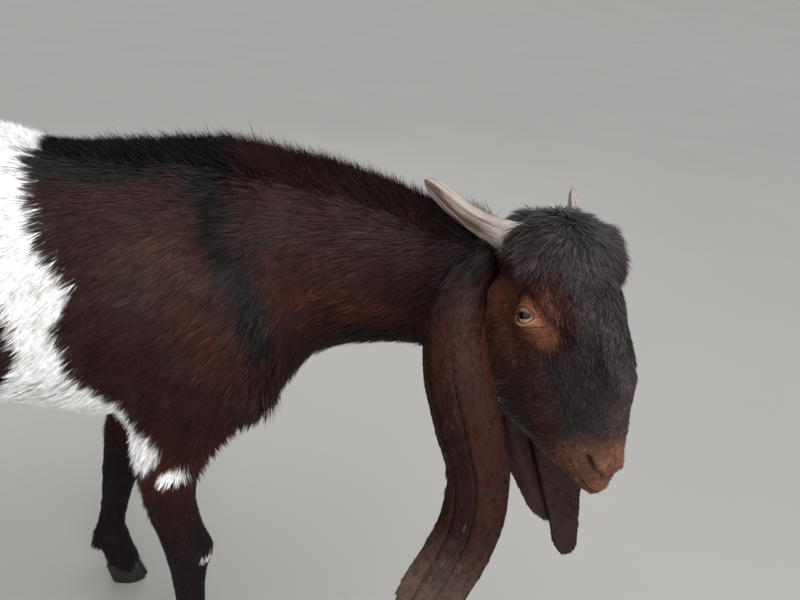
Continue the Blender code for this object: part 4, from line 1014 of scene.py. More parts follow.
def addColour(mesh, name, values):
    layer = mesh.attributes.new(name, "FLOAT_COLOR", "POINT")
    data = np.ones((len(mesh.vertices), 4), np.float32)
    data[:, :3] = np.clip(values, 0, 1)
    layer.data.foreach_set("color", data.ravel())


earParts = {}
for word, (points, faces, places) in ears.items():
    item = meshFrom("ear" + word.title(), [(points, faces)])
    colour = earMarks(word, places, points)
    addColour(item.data, "marks", colour)
    earParts[word] = (item, points, normalsOf(item.data), places, colour)

addColour(body.data, "marks", bodyColour)
addColour(head.data, "marks", headColour)

# Roots for the coat are drawn before the skin's parts are joined

hornLook = {
    "root": (-0.052, 0.037, 0.024), "length": 0.126, "radius": 0.0168,
    "narrow": 0.54,  # thickness across, as a share of the radius
    "sag": 0.010, "rings": 90, "sides": 40,
    "reach": {1: (-0.865, 0.410, -0.291), -1: (-0.805, 0.44, -0.21)},
    "taper": ((-0.12, 0.0, 0.10, 0.16, 0.28, 0.5, 0.75, 0.9, 0.97, 1.0),
              (0.55, 0.70, 0.90, 0.90, 0.72, 0.62, 0.56, 0.42, 0.24, 0.04)),
}

coatLook = {
    "density": 288000,  # blades on a square metre of the trunk
    "headDensity": 520000,
    "earDensity": 420000,
    "width": 0.00135,
    "crownCount": 12500,
    "crestCount": 36000,
}
thin = 1.0
draw = np.random.default_rng(7182)


def sampleRoots(mesh, weight, perSquareMetre, fields):
    # Random places on a mesh, with the fields of its points blended there; weight thins them by place
    mesh.calc_loop_triangles()
    corners = np.empty(len(mesh.loop_triangles) * 3, np.int32)
    mesh.loop_triangles.foreach_get("vertices", corners)
    corners = corners.reshape(-1, 3)
    points = pointsOf(mesh)
    a, b, c = (points[corners[:, k]] for k in range(3))
    area = np.linalg.norm(np.cross(b - a, c - a), axis=1) / 2 * weight[corners].mean(1)
    count = int(area.sum() * perSquareMetre * thin)
    chosen = np.searchsorted(np.cumsum(area), draw.random(count) * area.sum())
    chosen = np.minimum(chosen, len(corners) - 1)
    u, v = draw.random(count), draw.random(count)
    flip = u + v > 1
    u, v = np.where(flip, 1 - u, u), np.where(flip, 1 - v, v)
    share = np.stack([1 - u - v, u, v], 1)
    spots = corners[chosen]
    blended = [np.einsum("ij,ijk->ik", share, field.reshape(len(points), -1)[spots]) for field in [points] + fields]
    return [field[:, 0] if field.shape[1] == 1 else field for field in blended]


def trianglesMesh(name, points, corners, colours, places):
    mesh = bpy.data.meshes.new(name)
    mesh.vertices.add(len(points))
    mesh.vertices.foreach_set("co", np.asarray(points, np.float32).ravel())
    mesh.loops.add(corners.size)
    mesh.loops.foreach_set("vertex_index", corners.astype(np.int32).ravel())
    mesh.polygons.add(len(corners))
    mesh.polygons.foreach_set("loop_start", np.arange(0, corners.size, 3, dtype=np.int32))
    mesh.update(calc_edges=True)
    mesh.polygons.foreach_set("use_smooth", np.ones(len(corners), bool))
    addColour(mesh, "marks", colours)
    layer = mesh.uv_layers.new(name="OFBake")
    layer.data.foreach_set("uv", places[corners].astype(np.float32).ravel())
    mesh.update()
    made = bpy.data.objects.new(name, mesh)
    bpy.context.scene.collection.objects.link(made)
    return made


def growBlades(name, roots, normals, ways, lengths, widths, lifts, colours, unwrap, segments=2, wave=0.0,
               pull=None, tipPaintedLight=1.22):
    # Flat tapered blades that rise from their roots and bend back along the skin, painted darker at the root as painted
    # shade in the coat and lighter at the tip as painted light
    count = len(roots)
    normals = unit(normals)
    ways = unit(ways - normals * np.sum(ways * normals, axis=1, keepdims=True))
    aside = np.cross(ways, normals)
    roll = draw.normal(0, 0.30, count)[:, None]
    broad = unit(aside * np.cos(roll) + normals * np.sin(roll))
    phase, turns = draw.uniform(0, 6.28, count), draw.uniform(0.8, 1.5, count)
    ahead = np.sqrt(np.clip(1 - lifts**2, 0.05, 1))
    points, shades = [], []
    for k in range(segments + 1):
        t = k / segments
        sway = wave * lengths * (np.sin(phase + 6.28 * turns * t) - np.sin(phase)) * t**0.5
        centre = roots - normals * np.minimum(0.0008, 0.06 * lengths)[:, None] + ways * (lengths * ahead * t)[:, None]
        centre += normals * (lengths * lifts * (t - 0.42 * t * t * (1 - lifts)))[:, None]
        centre += aside * sway[:, None]
        if pull is not None:
            centre += pull * (t * t)
        half = widths / 2 * (1 - t**1.7) * (0.75 + 0.5 * min(t * 3, 0.5))
        # Root to tip: painted shade at the root, painted light at the tip
        shade = colours * (0.72 + (tipPaintedLight - 0.72) * t)
        if k < segments:
            points += [centre - broad * half[:, None], centre + broad * half[:, None]]
            shades += [shade, shade]
        else:
            points.append(centre)
            shades.append(shade)
    corner = 2 * segments + 1
    points = np.stack(points, 1).reshape(-1, 3)
    shades = np.stack(shades, 1).reshape(-1, 3)
    pattern = []
    for k in range(segments - 1):
        a = 2 * k
        pattern += [(a, a + 1, a + 3), (a, a + 3, a + 2)]
    a = 2 * (segments - 1)
    pattern.append((a, a + 1, a + 2))
    corners = (np.arange(count) * corner)[:, None, None] + np.array(pattern)
    patch = [(side * 0.003, 0.003 * k / segments) for k in range(segments) for side in (0, 1)] + [(0.0015, 0.003)]
    low, high = unwrap.min(0), unwrap.max(0)
    flat = (unwrap - low) / np.maximum(high - low, 1e-6) * 0.994 + 0.0015
    places = (flat[:, None, :] + np.array(patch)).reshape(-1, 2)
    return trianglesMesh(name, points + shift, corners.reshape(-1, 3), shades, places)


def clumped(roots, strength, share=0.05):
    # Each blade's tip leans to the middle of its clump, and each clump has its own tone
    count = max(int(len(roots) * share), 8)
    picks = roots[draw.choice(len(roots), min(count, len(roots)), replace=False)]
    tree = KDTree(len(picks))
    for k, pick in enumerate(picks):
        tree.insert(pick, k)
    tree.balance()
    nearest = np.array([tree.find(root)[1] for root in roots])
    return (picks[nearest] - roots) * strength, np.exp(draw.normal(0, 0.13, len(picks)))[nearest]


coatPieces = []


def coat(name, roots, normals, ways, lengths, widths, lifts, colours, unwrap, **how):
    lengths = lengths * draw.uniform(0.72, 1.18, len(roots))
    pull, tone = clumped(roots, how.pop("strength", 0.55))
    colours = colours * (tone * np.exp(draw.normal(0, how.pop("variety", 0.18), len(roots))))[:, None]
    made = growBlades(name, roots, normals, ways, lengths, widths * draw.uniform(0.8, 1.25, len(roots)),
                      lifts * draw.uniform(0.7, 1.35, len(roots)), colours, unwrap, pull=pull, **how)
    coatPieces.append(made)
    print(name, len(made.data.polygons), "triangles")
    return made


def hornSection(side):
    # The way the horn grows, and the two ways across it
    reach = unit(np.array(hornLook["reach"][side]))
    upward = np.array((-0.25, -0.40, 0.85))
    upward = unit(upward - reach * reach.dot(upward))
    return reach, upward, np.cross(reach, upward)


def hornShare(points):
    # How far points of the head's frame stand from the nearer horn, in shares of its thickness at the root
    share = np.full(len(points), 9.0)
    for side in (1, -1):
        reach, upward, across = hornSection(side)
        arm = points * (1, side, 1) - hornLook["root"]
        wide = arm @ upward / (hornLook["radius"] + 0.0015)
        narrow = arm @ across / (hornLook["narrow"] * hornLook["radius"] + 0.0015)
        share = np.minimum(share, np.where(arm @ reach < -0.014, 9.0, np.hypot(wide, narrow)))
    return share


# Trunk, neck and legs
bodySkinPoints = pointsOf(body.data)
weight = np.where(beyondJoint(bodySkinPoints) > 0.006, 0.0, 1.0) * ramp(0.034, 0.037, bodySkinPoints[:, 2])
weight = weight * (1 + 0.9 * ramp(0.40, 0.28, bodySkinPoints[:, 2]))
roots, normals, ways, lengths, lifts, colours, ridge = sampleRoots(
    body.data, weight, coatLook["density"], [bodyNormals, unit(bodyWay), bodyLength, bodyLift, bodyColour, bodyRidge])
widths = coatLook["width"] * (0.55 + 0.45 * ramp(0.006, 0.018, lengths))
normals = unit(normals)
lengths = lengths * (1 - 0.35 * ridge)
lifts = lifts + 0.25 * ridge
onLeg = roots[:, 2] < 0.40
angle = np.arctan2(roots[:, 1], roots[:, 2] - 0.58)
groups = []
for word, pick in (("Left", roots[:, 1] > 0), ("Right", roots[:, 1] <= 0)):
    groups.append(("coatForeleg" + word, pick & onLeg & (roots[:, 0] > -0.6)))
    groups.append(("coatHindleg" + word, pick & onLeg & (roots[:, 0] <= -0.6)))
trunkEdges = [-1.0, -0.72, -0.55, -0.38, -0.235, -0.11, 0.3]
for k, (rear, fore) in enumerate(zip(trunkEdges, trunkEdges[1:])):
    groups.append((f"coatBody{k + 1}", ~onLeg & (roots[:, 0] > rear) & (roots[:, 0] <= fore)))
for name, pick in groups:
    if name.startswith("coatBody"):
        unwrap = np.stack([angle[pick], roots[pick][:, 0]], 1)
    else:
        legMiddle = np.median(roots[pick], axis=0)
        across = roots[pick] - legMiddle
        unwrap = np.stack([np.arctan2(across[:, 1], across[:, 0]), roots[pick][:, 2]], 1)
    coat(name, roots[pick], normals[pick], ways[pick], lengths[pick], widths[pick], lifts[pick], colours[pick], unwrap)

# Head
inHead = toHead(pointsOf(head.data))
weight = np.where(beyondJoint(pointsOf(head.data)) < -0.006, 0.0, 1.0)
for side in (1, -1):
    u, v, reach = eyeDistance(inHead, side)
    weight = np.where((reach > 0.002) & (np.hypot(u, v) < 1.34), 0.0, weight)
lipShare = ramp(0.080, 0.096, inHead[:, 0])
weight = weight * (1 - lipShare * bump(0, 0.0022, inHead[:, 2] - lipLine(inHead[:, 0])))
for side in (1, -1):
    weight = weight * ramp(0.40, 0.15, nostrilShare(inHead, side, 1.5)[0])
weight = weight * (hornShare(inHead) > 1)
roots, normals, ways, lengths, lifts, colours = sampleRoots(
    head.data, weight, coatLook["headDensity"], [headNormals, unit(headWay), headLength, headLift, headColour])
spots = toHead(roots)
unwrap = np.stack([np.arctan2(spots[:, 1], spots[:, 2] + 0.03), spots[:, 0]], 1)
widths = 0.0007 + 0.0006 * ramp(0.004, 0.014, lengths)
coat("coatHead", roots, normals, ways, lengths, widths, lifts, colours, unwrap, wave=0.05, variety=0.30)

# Ears
for word, (item, points, normals, places, colour) in earParts.items():
    t, s, outer = places.T
    rows = smoothRows(earRows[word], earLook["along"])
    steps = unit(np.gradient(rows[:, :3], axis=0))
    index = np.clip((t * (earLook["along"] - 1)).astype(int), 0, earLook["along"] - 1)
    ways = steps[index]
    lengths = np.where(outer > 0.5, 0.0065, 0.0050) + 0.003 * ramp(0.42, 0.5, np.abs(s)) + 0.008 * ramp(0.25, 0.05, t)
    lengths = lengths * (1 - 0.45 * ramp(0.88, 0.97, t))
    lifts = np.full(len(t), 0.22)
    fields = [normals, ways, lengths, lifts, colour, places]
    rootsE, normalsE, waysE, lengthsE, liftsE, coloursE, placesE = sampleRoots(
        item.data, np.ones(len(t)), coatLook["earDensity"], fields)
    unwrap = np.stack([placesE[:, 1] + 1.1 * (placesE[:, 2] > 0.5), placesE[:, 0]], 1)
    coat("coatEar" + word.title(), rootsE, normalsE, waysE, lengthsE, np.full(len(rootsE), 0.0010), liftsE,
         coloursE, unwrap)
print("coat:", len(coatPieces), "pieces")

# The standing crest of the back and neck
crestLook = {
    "spread": 0.0105, "halfWidth": 0.024,  # how the roots scatter beside the spine, and how far at most
    "tallest": 0.034, "backward": 0.85, "outward": 42.0,  # lean back, and outwards for each metre off the spine
}
bodyTree = BVHTree.FromObject(body, bpy.context.evaluated_depsgraph_get())
headTree = BVHTree.FromObject(head, bpy.context.evaluated_depsgraph_get())


def dropped(tree, starts, aims):
    # Where rays meet a skin: places, normals and which rays did
    places, outs, met = [], [], []
    for start, aim in zip(starts, aims):
        place, out, _, _ = tree.ray_cast(Vector(start), Vector(aim))
        met.append(place is not None)
        if place is not None:
            places.append(place)
            outs.append(out)
    return np.array(places), np.array(outs), np.array(met, bool)


count = int(coatLook["crestCount"] * thin)
rows = smoothRows(crestRows, 200)
spot = draw.random(count) ** 0.8 * 199
line = np.stack([np.interp(spot, np.arange(200), rows[:, k]) for k in range(3)], 1)
step = unit(np.stack([np.interp(spot, np.arange(200), np.gradient(rows[:, k])) for k in range(3)], 1))
sideways = unit(np.cross((0, 0, 1), step))
off = np.clip(draw.normal(0, crestLook["spread"], count), -crestLook["halfWidth"], crestLook["halfWidth"])
starts = line + sideways * off[:, None] + (0, 0, 0.05)
places, outs, met = dropped(bodyTree, starts, np.tile((0, 0, -1.0), (count, 1)))
line, step, sideways, off = line[met], step[met], sideways[met], off[met]
tall = (line[:, 2] - places[:, 2]) * draw.uniform(0.78, 1.06, len(places)) - 0.25 * np.abs(off)
tall = np.minimum(tall, crestLook["tallest"]) * (1 - 0.7 * (off / crestLook["halfWidth"]) ** 2)
tall = tall * draw.uniform(0.66, 1.14, len(tall))
keep = tall > 0.004
line, step, sideways, off, places, tall = (part[keep] for part in (line, step, sideways, off, places, tall))
lean = -step * crestLook["backward"] + sideways * (off * crestLook["outward"])[:, None]
lean = lean + draw.normal(0, 0.16, (len(places), 3))
up = unit(lean + (0, 0, 1.0))
tall = tall / np.maximum(up[:, 2], 0.4)
colours = bodyMarks(places) * (0.8 + 0.3 * draw.random(len(places)))[:, None]
flat = unit(sideways + step * draw.normal(0, 0.5, len(places))[:, None])
unwrap = np.stack([np.arctan2(off, 0.02), line[:, 0]], 1)
made = growBlades("coatCrest", places - up * 0.002, flat, up, tall * 1.03 + 0.002,
                  draw.uniform(0.0008, 0.0014, len(places)), np.zeros(len(places)), colours, unwrap,
                  segments=2, wave=0.06, pull=clumped(places, 0.6)[0])
coatPieces.append(made)
print("coat: crest")

# Wavy hair on the crown and forehead
crownLook = {"centre": (-0.030, 0, -0.010), "reach": 0.14, "shortest": 0.010, "longest": 0.020}
count = int(coatLook["crownCount"] * thin)
tilt = np.radians(draw.uniform(0, 78, count))
spin = draw.uniform(0, 2 * np.pi, count)
aims = np.stack([np.sin(tilt) * np.cos(spin), np.sin(tilt) * np.sin(spin), np.cos(tilt)], 1)
keep = (aims[:, 0] > -0.75) & ((aims[:, 0] > -0.2) | (np.abs(aims[:, 1]) < 0.6))
aims = aims[keep]
starts = np.array(crownLook["centre"]) + aims * crownLook["reach"]
places, outs, met = dropped(headTree, toGoat(starts), -(aims @ headTurnArray.T))
spots = toHead(places)
keep = (np.abs(spots[:, 1]) < 0.030) | (spots[:, 2] > 0.024) | (spots[:, 0] < -0.045)
keep &= draw.random(len(spots)) < ramp(0.085, 0.030, spots[:, 0]) + 0.06
keep &= hornShare(spots) > 1.05
places, outs, spots = places[keep], outs[keep], spots[keep]
way = np.stack([0.55 + (spots[:, 0] + 0.045) * 10, spots[:, 1] * 26, np.full(len(spots), -0.35)], 1)
way += draw.normal(0, 0.22, way.shape)
warm = ramp(-0.2, 0.5, cloud(spots, 0.018, 21.0, 2))
warm = np.maximum(0.55 * warm, 0.80 * ramp(0.038, 0.014, spots[:, 2]) * ramp(0.014, 0.030, np.abs(spots[:, 1])))
colours = mixed(headMarks(spots), "brown", warm)
colours = colours * (0.70 + 0.55 * draw.random(len(spots)))[:, None]
unwrap = np.stack([np.arctan2(spots[:, 1], spots[:, 2] + 0.03), spots[:, 0]], 1)
tall = draw.uniform(crownLook["shortest"], crownLook["longest"], len(places))
tall = tall * (1 - 0.55 * ramp(-0.01, 0.05, spots[:, 0]))
tall = tall * (0.45 + 0.55 * ramp(1.0, 2.4, hornShare(spots)))
tall = tall * (0.45 + 0.55 * np.maximum(ramp(0.020, 0.040, spots[:, 2]), ramp(0.030, 0.018, np.abs(spots[:, 1]))))
made = growBlades("coatCrown", places, outs, way @ headTurnArray.T, tall,
                  draw.uniform(0.0007, 0.0013, len(places)), draw.uniform(0.12, 0.34, len(places)), colours, unwrap,
                  segments=4, wave=0.09, pull=clumped(places, 0.7)[0])
coatPieces.append(made)
print("coat: crown")


# Lashes and whiskers: one tapered bristle set on many roots by Geometry Nodes

bristleLook = {"lashes": 46, "whiskers": 22, "thick": 0.013, "bend": 0.35}


def bristleNodes():
    group = bpy.data.node_groups.new("bristles on roots", "GeometryNodeTree")
    group.interface.new_socket("Geometry", in_out="INPUT", socket_type="NodeSocketGeometry")
    group.interface.new_socket("Thickness", in_out="INPUT", socket_type="NodeSocketFloat")
    group.interface.new_socket("Bend", in_out="INPUT", socket_type="NodeSocketFloat")
    group.interface.new_socket("Material", in_out="INPUT", socket_type="NodeSocketMaterial")
    group.interface.new_socket("Geometry", in_out="OUTPUT", socket_type="NodeSocketGeometry")
    given = group.nodes.new("NodeGroupInput")
    line = addNode(group, "GeometryNodeCurvePrimitiveBezierSegment", {"Resolution": 5})
    line.inputs["Start"].default_value = (0, 0, 0)
    line.inputs["Start Handle"].default_value = (0, 0, 0.35)
    end = addNode(group, "ShaderNodeCombineXYZ", {"Z": 0.94}, X=given.outputs["Bend"])
    bow = addNode(group, "ShaderNodeMath", {"operation": "MULTIPLY"}, i0=given.outputs["Bend"])
    bow.inputs[1].default_value = 0.35
    handle = addNode(group, "ShaderNodeCombineXYZ", {"Z": 0.70}, X=bow.outputs[0])
    group.links.new(end.outputs[0], line.inputs["End"])
    group.links.new(handle.outputs[0], line.inputs["End Handle"])
    share = addNode(group, "GeometryNodeSplineParameter")
    taper = addNode(group, "ShaderNodeMapRange", {"To Min": 1.0, "To Max": 0.08}, Value=share.outputs["Factor"])
    radius = addNode(group, "ShaderNodeMath", {"operation": "MULTIPLY"}, i0=taper.outputs["Result"],
                     i1=given.outputs["Thickness"])
    sized = addNode(group, "GeometryNodeSetCurveRadius", Curve=line.outputs["Curve"], Radius=radius.outputs[0])
    ring = addNode(group, "GeometryNodeCurvePrimitiveCircle", {"Resolution": 4})
    ring.inputs["Radius"].default_value = 1.0
    stem = addNode(group, "GeometryNodeCurveToMesh", {"Fill Caps": True}, Curve=sized.outputs["Curve"])
    group.links.new(ring.outputs["Curve"], stem.inputs["Profile Curve"])
    if "Scale" in stem.inputs:
        group.links.new(radius.outputs[0], stem.inputs["Scale"])
    aim = addNode(group, "GeometryNodeInputNamedAttribute", {"data_type": "FLOAT_VECTOR", "Name": "aim"})
    reach = addNode(group, "GeometryNodeInputNamedAttribute", {"data_type": "FLOAT", "Name": "reach"})
    turned = addNode(group, "FunctionNodeAlignRotationToVector", {"axis": "Z"}, Vector=aim.outputs["Attribute"])
    spread = addNode(group, "GeometryNodeInstanceOnPoints", Points=given.outputs["Geometry"],
                     Instance=stem.outputs["Mesh"], Rotation=turned.outputs["Rotation"],
                     Scale=reach.outputs["Attribute"])
    real = addNode(group, "GeometryNodeRealizeInstances", Geometry=spread.outputs["Instances"])
    dyed = addNode(group, "GeometryNodeSetMaterial", Geometry=real.outputs["Geometry"],
                   Material=given.outputs["Material"])
    result = group.nodes.new("NodeGroupOutput")
    group.links.new(dyed.outputs["Geometry"], result.inputs["Geometry"])
    return group


def bristles(name, roots, aims, reaches, tints, material):
    mesh = bpy.data.meshes.new(name)
    mesh.from_pydata((np.asarray(roots) + shift).tolist(), [], [])
    layer = mesh.attributes.new("aim", "FLOAT_VECTOR", "POINT")
    layer.data.foreach_set("vector", unit(aims).astype(np.float32).ravel())
    layer = mesh.attributes.new("reach", "FLOAT", "POINT")
    layer.data.foreach_set("value", np.asarray(reaches, np.float32))
    made = bpy.data.objects.new(name, mesh)
    bpy.context.scene.collection.objects.link(made)
    grown = made.modifiers.new("Bristles", "NODES")
    grown.node_group = bristleGroup
    sockets = {item.name: item.identifier for item in bristleGroup.interface.items_tree if item.in_out == "INPUT"}
    grown[sockets["Thickness"]] = bristleLook["thick"]
    grown[sockets["Bend"]] = bristleLook["bend"]
    grown[sockets["Material"]] = material
    applied(made)
    # Each bristle takes its tint and its patch of the coat's map from its root
    each = len(made.data.vertices) // len(roots)
    owner = np.arange(len(made.data.vertices)) // each
    for old in [layer.name for layer in made.data.attributes if layer.name in ("aim", "reach")]:
        made.data.attributes.remove(made.data.attributes[old])
    addColour(made.data, "marks", np.asarray(tints)[owner])
    loops = np.empty(len(made.data.loops), np.int32)
    made.data.loops.foreach_get("vertex_index", loops)
    spots = toHead(roots)
    flat = np.stack([np.arctan2(spots[:, 1], spots[:, 2] + 0.03), spots[:, 0]], 1)
    flat = (flat - flat.min(0)) / np.maximum(np.ptp(flat, axis=0), 1e-6) * 0.994 + 0.0015
    corner = np.stack([(loops % each) % 2, (loops % each) / each], 1) * 0.003
    layer = made.data.uv_layers.new(name="OFBake")
    layer.data.foreach_set("uv", (flat[owner[loops]] + corner).astype(np.float32).ravel())
    coatPieces.append(made)


# One skin from body, head and ears

def joinedSkin(name, items):
    form = bmesh.new()
    for item in items:
        form.from_mesh(item.data)
        bpy.data.objects.remove(item)
    mesh = bpy.data.meshes.new(name)
    form.to_mesh(mesh)
    form.free()
    mesh.shade_smooth()
    setPoints(mesh, pointsOf(mesh) + shift)
    made = bpy.data.objects.new(name, mesh)
    bpy.context.scene.collection.objects.link(made)
    return made


skin = joinedSkin("skin", [body, head] + [earParts[word][0] for word in ("right", "left")])
print("skin:", sum(len(face.vertices) - 2 for face in skin.data.polygons), "triangles")

# Eyes

def eyePiece(side):
    radius = eyeLook["radius"]
    lats = np.concatenate([np.linspace(0.5, 60, 40), np.linspace(66, 179.5, 16)])
    rings = []
    for lat in lats:
        a = math.radians(lat)
        reach = radius * (1 + 0.055 * max(0.0, math.cos(a * 1.55)) ** 2 * (lat < 58))
        spin = np.linspace(0, 2 * np.pi, 64, endpoint=False)
        ring = np.stack([np.sin(a) * np.cos(spin), np.full(64, np.cos(a)), np.sin(a) * np.sin(spin)], 1) * reach
        rings.append(ring)
    points, faces = tube(rings)
    local = points.copy()
    fore, upward, out = eyeAxes(side)
    x, y, z = eyeLook["at"]
    points = points[:, :1] * fore + points[:, 1:2] * out + points[:, 2:] * upward
    points = toGoat(points + (x, y * side, z)) + shift
    made = meshFrom("eyeball" + ("Left" if side > 0 else "Right"), [(points, faces)])
    layer = made.data.attributes.new("eyePlace", "FLOAT_VECTOR", "POINT")
    layer.data.foreach_set("vector", np.asarray(local / radius, np.float32).ravel())
    made.data.shade_smooth()
    return made


eyes = {"left": eyePiece(1), "right": eyePiece(-1)}

# Horns

def hornPiece(side):
    reach, upward, across = hornSection(side)
    rings, places = [], []
    for t in np.linspace(-0.12, 1.0, hornLook["rings"]):
        sag = hornLook["sag"] * math.sin(math.pi * max(t, 0))
        spine = np.array(hornLook["root"]) + reach * (hornLook["length"] * t) - np.array((0, 0.2, 1.0)) * sag
        taper = np.interp(t, *hornLook["taper"])
        rib = 1 + 0.020 * math.sin(52 * t + 6 * t * t) * (t > 0) * (1 - t)
        wide = hornLook["radius"] * taper * rib + 0.0013
        narrow = hornLook["narrow"] * hornLook["radius"] * taper * rib + 0.0011
        a = np.linspace(0, 2 * np.pi, hornLook["sides"], endpoint=False)
        c, s = np.cos(a), np.sin(a)
        keel = 1 + 0.05 * np.cos(a) * np.abs(np.cos(a)) ** 5
        ring = spine + (c * wide * keel)[:, None] * upward + (s * narrow)[:, None] * across
        ring = ring * (1, side, 1)
        rings.append(ring)
        places.append(np.stack([a / (2 * np.pi), np.full(len(a), t)], 1))
    points, faces = tube(rings)
    made = meshFrom("hornCone" + ("Left" if side > 0 else "Right"), [(toGoat(points) + shift, faces)])
    layer = made.data.attributes.new("hornPlace", "FLOAT_VECTOR", "POINT")
    place = np.vstack(places)
    around = place[:, 0] * 2 * np.pi
    local = np.stack([np.cos(around), np.sin(around), place[:, 1]], 1)
    layer.data.foreach_set("vector", np.asarray(local, np.float32).ravel())
    made.data.shade_smooth()
    return made


horns = {"left": hornPiece(1), "right": hornPiece(-1)}

# Hooves

hoofLook = {"length": 0.052, "width": 0.0195, "height": 0.036, "slope": 17.0, "gap": 0.0012}


def coronetHeight(ahead):
    return hoofLook["height"] + math.tan(math.radians(hoofLook["slope"])) * ahead


def hoofPiece(name, x, y, side):
    corners = [
        (-0.42, 0.0), (-0.47, 0.45), (-0.36, 0.92), (-0.08, 1.0),
        (0.18, 0.90), (0.38, 0.60), (0.50, 0.20), (0.48, 0.0),
    ]
    outline = smoothRows(corners, 36)
    outline[:, 1] = np.clip(outline[:, 1], 0, 1.0)
    inner = np.linspace(outline[-1], outline[0], 14)[1:-1]
    outline = np.vstack([outline, inner])
    rings, levels = [], np.concatenate([[0.0, 0.02], np.linspace(0.05, 1.0, 26)])
    for level in levels:
        shrink = np.interp(level, [0.0, 0.5, 1.0], [1.0, 0.90, 0.80])
        move = np.interp(level, [0.0, 0.5, 1.0], [0.010, 0.004, -0.002])
        ridge = 1 + 0.008 * math.sin(level * 42) - (0.03 if level == 0 else 0)
        u, v = outline.T
        px = x + move + u * hoofLook["length"] * shrink * ridge
        top = coronetHeight(px - x) - 0.0004
        py = y + side * (hoofLook["gap"] + v * hoofLook["width"] * (0.94 + 0.06 * shrink) * ridge)
        rings.append(np.stack([px, py, level * top], 1))
    points, faces = tube(rings)
    made = meshFrom(name, [(points + shift, faces)])
    made.data.shade_smooth()
    return made


hooves = {}
for side, word in ((1, "left"), (-1, "right")):
    for rows, stride, kind in ((forelegRows, foreStride, "fore"), (hindlegRows, hindStride, "hind")):
        z, x, _, _, out = rows[-2]
        back, aside = stepOf(stride, z, side)
        for turn, part in ((side, "outer"), (-side, "inner")):
            node = f"{kind}hoof_{word}_{part}"
            hooves[node] = hoofPiece(f"{kind}Claw{word.title()}{part.title()}", x + back, side * (out + aside), turn)
print("eyes, horns and hooves")


# Materials

def coatMaterial(name, roughness, fineness, gloss):
    # Coat hair: soft, half glossy strands whose colour comes from the markings at their root
    made, tree, shader = newMaterial(name)
    marks = addNode(tree, "ShaderNodeAttribute", {"attribute_name": "marks"})
    place = addNode(tree, "ShaderNodeTexCoord")
    grain = addNode(tree, "ShaderNodeTexNoise", {"Scale": fineness, "Detail": 3.0}, Vector=place.outputs["Object"])
    value = addNode(tree, "ShaderNodeMapRange", {"From Min": 0.3, "From Max": 0.7, "To Min": 0.82, "To Max": 1.18},
                    Value=grain.outputs["Fac"])
    tint = addNode(tree, "ShaderNodeVectorMath", {"operation": "SCALE"}, Vector=marks.outputs["Color"],
                   Scale=value.outputs["Result"])
    tree.links.new(tint.outputs[0], shader.inputs["Base Color"])
    shader.inputs["Roughness"].default_value = roughness
    shader.inputs["IOR"].default_value = 1.45
    shader.inputs["Specular IOR Level"].default_value = gloss
    return made


coatHair = coatMaterial("goat coat hair", 0.50, 160.0, 0.15)
faceHair = coatMaterial("goat face hair", 0.45, 240.0, 0.26)
skinHide = coatMaterial("goat hide", 0.62, 700.0, 0.15)


eyeColours = {
    "pupil": (0.50, 0.21), "raised": 0.09,  # half length, half height and rise, in shares of the eye's radius
    "pupilTint": "#06090a", "irisDark": "#94694a", "irisPale": "#cda583", "rim": "#3a1f14",
}


